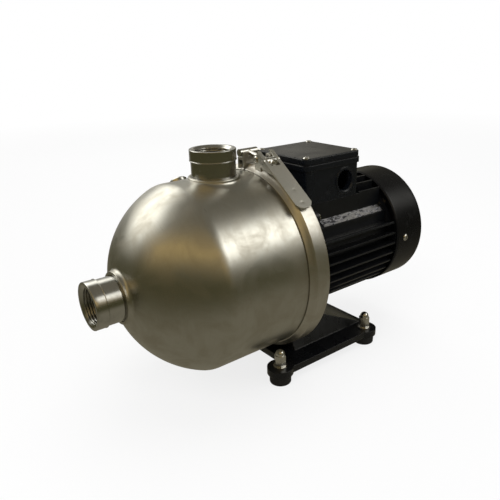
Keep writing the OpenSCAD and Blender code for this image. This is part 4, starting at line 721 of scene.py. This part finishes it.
# Socket with a cut thread: the outline is turned round its axis, and in the threaded rows the
# bore is a pointed wave of depth along plus angle, which winds it into a screw
def makePort(name, length, foot, finish, place, node):
    s = socket
    step, edge = s["radius"] - s["step"], s["edge"]
    beadOut, beadMiddle = s["band"] - 2 * s["bead"], s["band"] - s["bead"]
    long, short = s["longStep"], s["shortStep"]
    outer = np.vstack([
        run((0, s["mouth"]), (0, s["radius"] - edge), short),
        arc((edge, s["radius"] - edge), edge, 180, 90, s["edgePoints"]),
        run((edge, s["radius"]), (beadOut, s["radius"]), long),
        arc((beadMiddle, s["radius"]), s["bead"], 170, 0, s["beadPoints"]),
        run((s["band"] + s["beadGap"], step), (foot - s["grooveStart"], step), long),
        run((foot - s["grooveDeep"], step - s["groove"]), (foot, step - s["groove"]), short),
        run((foot + s["grooveEnd"], step), (length, step), long),
    ])
    deep = np.arange(s["threadLong"], s["mouthDeep"] * s["threadStartShare"],
                     -s["pitch"] / s["pitchRows"])
    inner = np.vstack([[(length, s["throat"])],
                       [(s["threadLong"] + s["throatGap"], s["throat"])],
                       np.stack([deep, np.full(len(deep), s["bore"])], 1)])
    outline = np.vstack([outer, inner])
    angles = allRound(s["columns"])
    along = np.repeat(outline[:, :1], len(angles), 1)
    out = np.repeat(outline[:, 1:], len(angles), 1)
    cut = slice(len(outline) - len(deep), None)
    phase = (along[cut] / s["pitch"] + angles / (2 * math.pi)) % 1.0
    ridge = np.clip(s["flank"] * np.abs(2 * phase - 1) - s["crest"], 0, 1)
    thread = s["root"] + (s["bore"] - s["root"]) * ridge
    fade = np.clip((s["threadLong"] - along[cut]) / s["pitch"], 0, 1)
    thread = s["bore"] + (thread - s["bore"]) * fade
    cone = s["mouth"] - along[cut] / s["mouthDeep"] * (s["mouth"] - s["bore"])
    out[cut] = np.maximum(thread, cone)
    grid = place(along, out, angles)
    faces = gridFaces(*grid.shape[:2], True, True)
    makePiece(name, grid, faces, finish, node, s["crease"])


# The suction socket lies on the shaft line and opens to the front, the other stands and opens up
def makePorts(standing, lying):
    front, top = ports["suction"], ports["discharge"]

    def facingFront(along, out, angles):
        return np.stack([front["face"] + along, out * np.sin(angles),
                         shaftHeight + out * np.cos(angles)], -1)

    def facingUp(along, out, angles):
        return np.stack([openings["discharge"]["x"] + out * np.cos(angles),
                         out * np.sin(angles), top["face"] - along], -1)

    makePort("suctionSocket", front["length"], front["foot"], lying, facingFront,
             "suction_port")
    makePort("dischargeSocket", top["length"], top["foot"], standing, facingUp,
             "discharge_port")


band = {
    "front": -51.6 * mm, "rear": -31.1 * mm, "leg": 87.8 * mm,
    "lip": 88.8 * mm, "lipRound": 0.5 * mm,
    "knee": -47.2 * mm, "kneeR": 91.3 * mm, "bend": 1.3 * mm,
    "kneePull": (0.3 * mm, 0.9 * mm),   # how far the bend's curve is drawn past the knee
    "rearR": 93 * mm, "sheet": 1.1 * mm, "edgeGap": 0.5 * mm,
    "split": 2.4 * mm, "splitTurn": math.radians(2.2), "groove": 89.3 * mm,
    "grooveFront": -43.9 * mm, "grooveRear": -36.7 * mm,
    "columns": 300, "lipPoints": 5, "bendPoints": 9, "edgePoints": 6,
    "stripStep": 3 * mm, "legStep": 2 * mm, "crease": 30,
}


# Section of the band: small front lip, cone, a bend that is a quadratic curve through the knee,
# and the wide flat strip with a rounded rear edge
def bandOutline():
    b = band
    knee = np.array([(b["knee"], b["kneeR"])])
    lip = np.array([(b["front"], b["lip"])])
    low = knee + (lip - knee) * (b["bend"] / (b["knee"] - b["front"]))
    high = np.array([(b["knee"] + b["bend"], b["rearR"])])
    bendShares = np.linspace(0, 1, b["bendPoints"])[:, None]
    edgeX, edgeR = b["rear"] - b["sheet"], b["rearR"] - b["sheet"]
    return np.vstack([
        arc((b["front"] + b["lipRound"], b["lip"] - b["lipRound"]), b["lipRound"], 180, 100,
            b["lipPoints"]),
        quadratic(low, knee + [b["kneePull"]], high, bendShares),
        run((b["knee"] + 2 * b["bend"], b["rearR"]), (edgeX, b["rearR"]), b["stripStep"]),
        arc((edgeX, edgeR), b["sheet"], 80, 0, b["edgePoints"]),
        run((b["rear"], edgeR - b["edgeGap"]), (b["rear"], b["leg"]), b["legStep"]),
        run((b["grooveRear"], b["leg"]), (b["grooveRear"], b["groove"]), b["legStep"]),
        run((b["grooveFront"], b["groove"]), (b["grooveFront"], b["leg"]), b["legStep"]),
        [(b["front"], b["leg"])],
    ])


# The section carried round the shaft from one side of the split to the other, with both ends shut
def makeBand(finish):
    gap = band["split"] / 2 / band["rearR"]
    angles = band["splitTurn"] + np.linspace(gap, 2 * math.pi - gap, band["columns"])
    grid = turnedRound(bandOutline(), angles)
    rows, columns = grid.shape[:2]
    faces = gridFaces(rows, columns, True, False).tolist()
    firstEnd = [i * columns for i in range(rows)]
    lastEnd = [i + columns - 1 for i in firstEnd][::-1]
    faces = np.array(faces + [firstEnd, lastEnd], dtype=object)
    makePiece("clampBandRing", grid, faces, finish, "clamp_band", band["crease"])


cover = {
    "front": 97.3 * mm, "long": 44.8 * mm, "radius": 64.4 * mm, "edge": 5 * mm, "wall": 1.2 * mm,
    "hub": 4 * mm, "spoke": 8 * mm,
    # inner radii of the rings of slots, their width and the least rim outside them, in mm
    "slots": [12 + 7.5 * i for i in range(6)], "slotWide": 4, "slotRim": 2,
    "armColumns": 4, "slotColumns": 32, "sideStep": 4 * mm, "edgePoints": 10, "crease": 50,
}


# Pot round the shaft: side, rounded edge, flat rear. In the rear face each ring of the grid keeps
# its four arms at one width, so the slots are blocks of the grid left out
def makeCover(finish):
    c = cover
    rear, flat = c["front"] + c["long"], c["radius"] - c["edge"]
    slots = [r * mm for r in c["slots"] if (r + c["slotWide"] + c["slotRim"]) * mm < flat]
    slotEnds = [r + c["slotWide"] * mm for r in slots]
    radii = sorted({flat, *slots, *slotEnds, c["hub"]})[::-1]
    outline = np.vstack([
        run((c["front"], c["radius"]), (rear - c["edge"], c["radius"]), c["sideStep"]),
        arc((rear - c["edge"], flat), c["edge"], 90, 0, c["edgePoints"])[1:],
        [(rear, r) for r in radii[1:]], [(rear, 0.0)],
    ])
    along, out = outline[:, :1], outline[:, 1:]
    # within each quarter the columns run from arm edge to arm edge
    half = np.arcsin(np.clip(c["spoke"] / 2 / np.maximum(out, c["spoke"]), 0, 1))
    even = np.full_like(half, math.asin(c["spoke"] / 2 / flat))
    half = np.where(along < rear - touching, even, half)
    inArm = np.linspace(-1, 1, c["armColumns"] + 1)[:-1]
    inSlot = np.linspace(0, 1, c["slotColumns"] + 1)[:-1]
    quarter = np.concatenate([inArm * half, half + inSlot * (math.pi / 2 - 2 * half)], 1)
    angles = np.concatenate([quarter + math.pi / 4 + k * math.pi / 2 for k in range(4)], 1)
    grid = np.stack([np.broadcast_to(along, angles.shape), out * np.sin(angles),
                     shaftHeight + out * np.cos(angles)], -1)
    rows, columns = angles.shape
    faces = gridFaces(rows, columns, False, True).reshape(rows - 1, columns, 4)
    inSlotColumn = np.arange(columns) % (c["armColumns"] + c["slotColumns"]) >= c["armColumns"]
    startsSlot = (np.abs(out[1:] - slots) < merged).any(1) & (along[:-1, 0] > rear - touching)
    keep = ~(startsSlot[:, None] & inSlotColumn)
    pot = makePiece("fanCoverPot", grid, faces[keep], finish, "fan_cover", c["crease"])
    thicken(pot, c["wall"])


foot = {
    "radius": 10.8 * mm, "high": 15.2 * mm, "edge": 1.1 * mm, "bulge": 0.25 * mm,
    "bore": 3.1 * mm, "boreDeep": 9 * mm,
    "places": [(x * mm, y * mm) for x in (-60, 60) for y in (-56, 56)],
    "rows": 12, "columns": 72, "edgePoints": 6, "crease": 50,
}


# Each foot: a barrel outline, its radius swelling as a half sine, with round edges and a bore
# from above
def makeFeet(finish):
    f = foot
    angles = allRound(f["columns"])
    rise = np.linspace(f["edge"], f["high"] - f["edge"], f["rows"])
    swell = f["radius"] - f["bulge"] + f["bulge"] * np.sin(math.pi * rise / f["high"])
    edgeOut, boreFloor = f["radius"] - f["bulge"] - f["edge"], f["high"] - f["boreDeep"]
    outline = np.vstack([
        [(0, 0)],
        arc((f["edge"], edgeOut), f["edge"], 180, 90, f["edgePoints"]),
        np.stack([rise, swell], 1),
        arc((f["high"] - f["edge"], edgeOut), f["edge"], 90, 0, f["edgePoints"]),
        [(f["high"], f["bore"]), (boreFloor, f["bore"]), (boreFloor, 0)],
    ])
    grids = [turnedUpright(outline, angles, place) for place in f["places"]]
    one = gridFaces(len(outline), len(angles), False, True)
    faces = np.vstack([one + k * len(outline) * len(angles) for k in range(len(grids))])
    makePiece("rubberFeetRound", np.stack(grids), faces, finish, "rubber_feet", f["crease"])


studio = {
    "floor": (0.86, 0.86, 0.86), "grain": dict(scale=40.0, detail=3.0, rough=0.5),
    "grainColour": (0.8, 0.8, 0.8), "grainShare": 0.04,
    "floorWhite": 0.8, "floorFade": (0.5, 2.2), "floorHalf": 30, "world": 0.5,
    "aim": (0, 0, 0.12),
    "lamps": {
        "key": dict(place=(-0.9, -0.5, 1.1), size=0.7, power=7.0),
        "top": dict(place=(0.2, 0.1, 1.4), size=1.1, power=8.0),
        "fill": dict(place=(0.7, -1.1, 0.5), size=0.9, power=3.0),
        "rim": dict(place=(0.5, 1.1, 0.8), size=0.8, power=3.0),
    },
}

white = (1, 1, 1, 1)

# painted reflections: a made-up room that only mirrors see, with dim walls in three heights and
# glowing windows that put painted highlights on the steel but light nothing. round is a window's
# direction from -Y (0) towards the fan (90), up its height, wide, high and soft its half width,
# half height and soft edge, all in degrees
paintedRoom = {
    "size": 2.5, "centre": (0, 0, 0.1), "rows": 24, "columns": 72, "lowest": 0.5,
    "topGap": 0.001,   # the ball stops this angle short of its top, where its columns would meet
    # painted reflections of walls and a ceiling that the steel mirrors, though no such room stands
    "wall": (0.068, 0.063, 0.03), "upper": (0.15, 0.142, 0.115), "ceiling": (0.17, 0.155, 0.12),
    # painted reflection of a table under the pump, seen by mirrors where the floor would be
    "table": (0.21, 0.192, 0.142), "tableHalf": 3, "tableHigh": 0.5 * mm,
    # between which heights, as sines, each part turns into the next
    "toWall": (-0.34, -0.1), "toUpper": (0.16, 0.5), "toCeiling": (0.75, 0.95),
    "windowFront": (0.0, 0.2),
    # each window is a painted highlight: a patch of glow that only mirrors see
    "paintedWindows": [
        dict(round=-50, up=42, wide=50, high=11, soft=7, glow=(0.6, 0.435, 0.185)),
        dict(round=-165, up=36, wide=28, high=15, soft=9, glow=(3.0, 2.95, 2.72)),
        dict(round=42, up=38, wide=19, high=12, soft=6, glow=(2.75, 2.7, 2.5)),
        dict(round=142, up=20, wide=10, high=9, soft=7, glow=(0.6, 0.57, 0.5)),
        dict(round=165, up=-2, wide=18, high=26, soft=12, glow=(0.4, 0.39, 0.36)),
    ],
}


# 1 where the eye, a mirror or glass looks, 0 for the light that the pump gets
def seenShare(f):
    rays = f.node("ShaderNodeLightPath")
    pick = {o.name: Level(f, o) for o in rays.socket.node.outputs}
    return pick["Is Camera Ray"].most(pick["Is Glossy Ray"]).most(pick["Is Transmission Ray"])


def onStage(name, points, faces, material):
    mesh = bpy.data.meshes.new(name)
    mesh.from_pydata(points, [], faces)
    mesh.materials.append(material)
    made = bpy.data.objects.new(name, mesh)
    bpy.context.scene.collection.objects.link(made)
    return made


# Level square given by half its side and its height
def flatSquare(half, height):
    return [(-half, -half, height), (half, -half, height), (half, half, height),
            (-half, half, height)], [(0, 1, 2, 3)]


# Pale floor: lit and shaded matt, mixed with plain white, which takes over far from the pump
def makeFloor():
    f = Finish("paleFloor")
    x, y = f.parts(f.where())[:2]
    away = f.span((x * x + y * y).rootOf(), *studio["floorFade"])
    grain = f.noise(f.where(), **studio["grain"])
    tone = f.mix(grain * studio["grainShare"], studio["floor"], studio["grainColour"])
    matt = f.node("ShaderNodeBsdfDiffuse", None, {"Color": tone})
    glow = f.node("ShaderNodeEmission", None, {"Color": white, "Strength": 1.0})
    share = seenShare(f) * (away * (1.0 - studio["floorWhite"]) + studio["floorWhite"])
    both = f.node("ShaderNodeMixShader", None, {0: share, 1: matt, 2: glow})
    f.node("ShaderNodeOutputMaterial", None, {"Surface": both})
    onStage("floor", *flatSquare(studio["floorHalf"], 0), f.material)


# A direction given by its turn round and its height, in degrees
def towards(round, up):
    a, e = math.radians(round), math.radians(up)
    return Vector((math.sin(a) * math.cos(e), -math.cos(a) * math.cos(e), math.sin(e)))


# Painted reflections: half a ball and a table round the set that only mirrors see, whose glow is
# a function of direction alone and lights nothing. A window glows as a painted highlight where the
# direction's share along its side axis and along its upright axis are both small, and it lies in
# front
def makePaintedReflections():
    f = Finish("paintedReflectionBoards")
    spot = f.where(centre=tuple(-c for c in paintedRoom["centre"]))
    facing = f.node("ShaderNodeVectorMath", {"operation": "NORMALIZE"}, {0: spot})
    height = f.parts(facing)[2]
    glow = f.mix(f.span(height, *paintedRoom["toWall"]), paintedRoom["table"], paintedRoom["wall"])
    glow = f.mix(f.span(height, *paintedRoom["toUpper"]), glow, paintedRoom["upper"])
    glow = f.mix(f.span(height, *paintedRoom["toCeiling"]), glow, paintedRoom["ceiling"])

    def inside(axis, half, soft):
        reach = math.sin(math.radians(half)) - f.dot(facing, axis).size()
        return f.span(reach, -soft, soft)

    for w in paintedRoom["paintedWindows"]:
        middle, across = towards(w["round"], w["up"]), towards(w["round"] + 90, 0)
        soft = math.radians(w["soft"])
        front = f.dot(facing, middle)
        paintedWindow = (inside(across, w["wide"], soft) * inside(middle.cross(across), w["high"], soft)
               * f.span(front, *paintedRoom["windowFront"]))
        glow = f.mix(paintedWindow, glow, w["glow"])
    shine = f.node("ShaderNodeEmission", None, {"Color": glow, "Strength": 1.0})
    f.node("ShaderNodeOutputMaterial", None, {"Surface": shine})

    highest = math.pi / 2 - paintedRoom["topGap"]
    rise = np.linspace(math.radians(paintedRoom["lowest"]), highest, paintedRoom["rows"])[:, None]
    around = allRound(paintedRoom["columns"])[None, :]
    ball = np.stack([np.cos(rise) * np.cos(around), np.cos(rise) * np.sin(around),
                     np.sin(rise) + 0 * around], -1) * paintedRoom["size"]
    ballFaces = gridFaces(paintedRoom["rows"], paintedRoom["columns"], False, True)
    boards = [
        onStage("paintedReflectionBoards", ball.reshape(-1, 3).tolist(), ballFaces.tolist(), f.material),
        onStage("paintedReflectionTable", *flatSquare(paintedRoom["tableHalf"], paintedRoom["tableHigh"]), f.material),
    ]
    # the boards stay out of the camera, the lamps' light and the shadows, so their glow is only a
    # painted reflection
    for board in boards:
        board.visible_camera = board.visible_diffuse = board.visible_shadow = False
        board.visible_transmission = board.visible_volume_scatter = False


def makeLights():
    bpy.context.scene.view_settings.view_transform = "Standard"
    world = bpy.data.worlds.new("softRoom")
    bpy.context.scene.world = world
    w = Finish("softRoom", world)
    level = seenShare(w) * (1.0 - studio["world"]) + studio["world"]
    sky = w.node("ShaderNodeBackground", None, {"Color": white, "Strength": level})
    w.node("ShaderNodeOutputWorld", None, {"Surface": sky})
    for name, lamp in studio["lamps"].items():
        data = bpy.data.lights.new(name, "AREA")
        data.size, data.energy = lamp["size"], lamp["power"]
        made = bpy.data.objects.new(name, data)
        aim = Vector(studio["aim"]) - Vector(lamp["place"])
        made.matrix_world = (Matrix.Translation(lamp["place"])
                             @ aim.to_track_quat("-Z", "Y").to_matrix().to_4x4())
        made.visible_glossy = False   # the painted windows of the room make the painted highlights
        bpy.context.scene.collection.objects.link(made)


makeCamera()
makeFloor()
makePaintedReflections()
makeLights()
print("camera and stage ready")
finishes = makeFinishes()
lyingTurned = turnedSteel("turnedSteelLying", "x", **turned["port"])
print("finishes ready:", len(finishes))
makeSleeve(finishes["satin_steel"])
makePorts(finishes["turned_steel"], lyingTurned)
makeBand(finishes["clamp_steel"])
makeCover(finishes["black_sheet"])
makeFeet(finishes["foot_rubber"])
print("pieces ready")
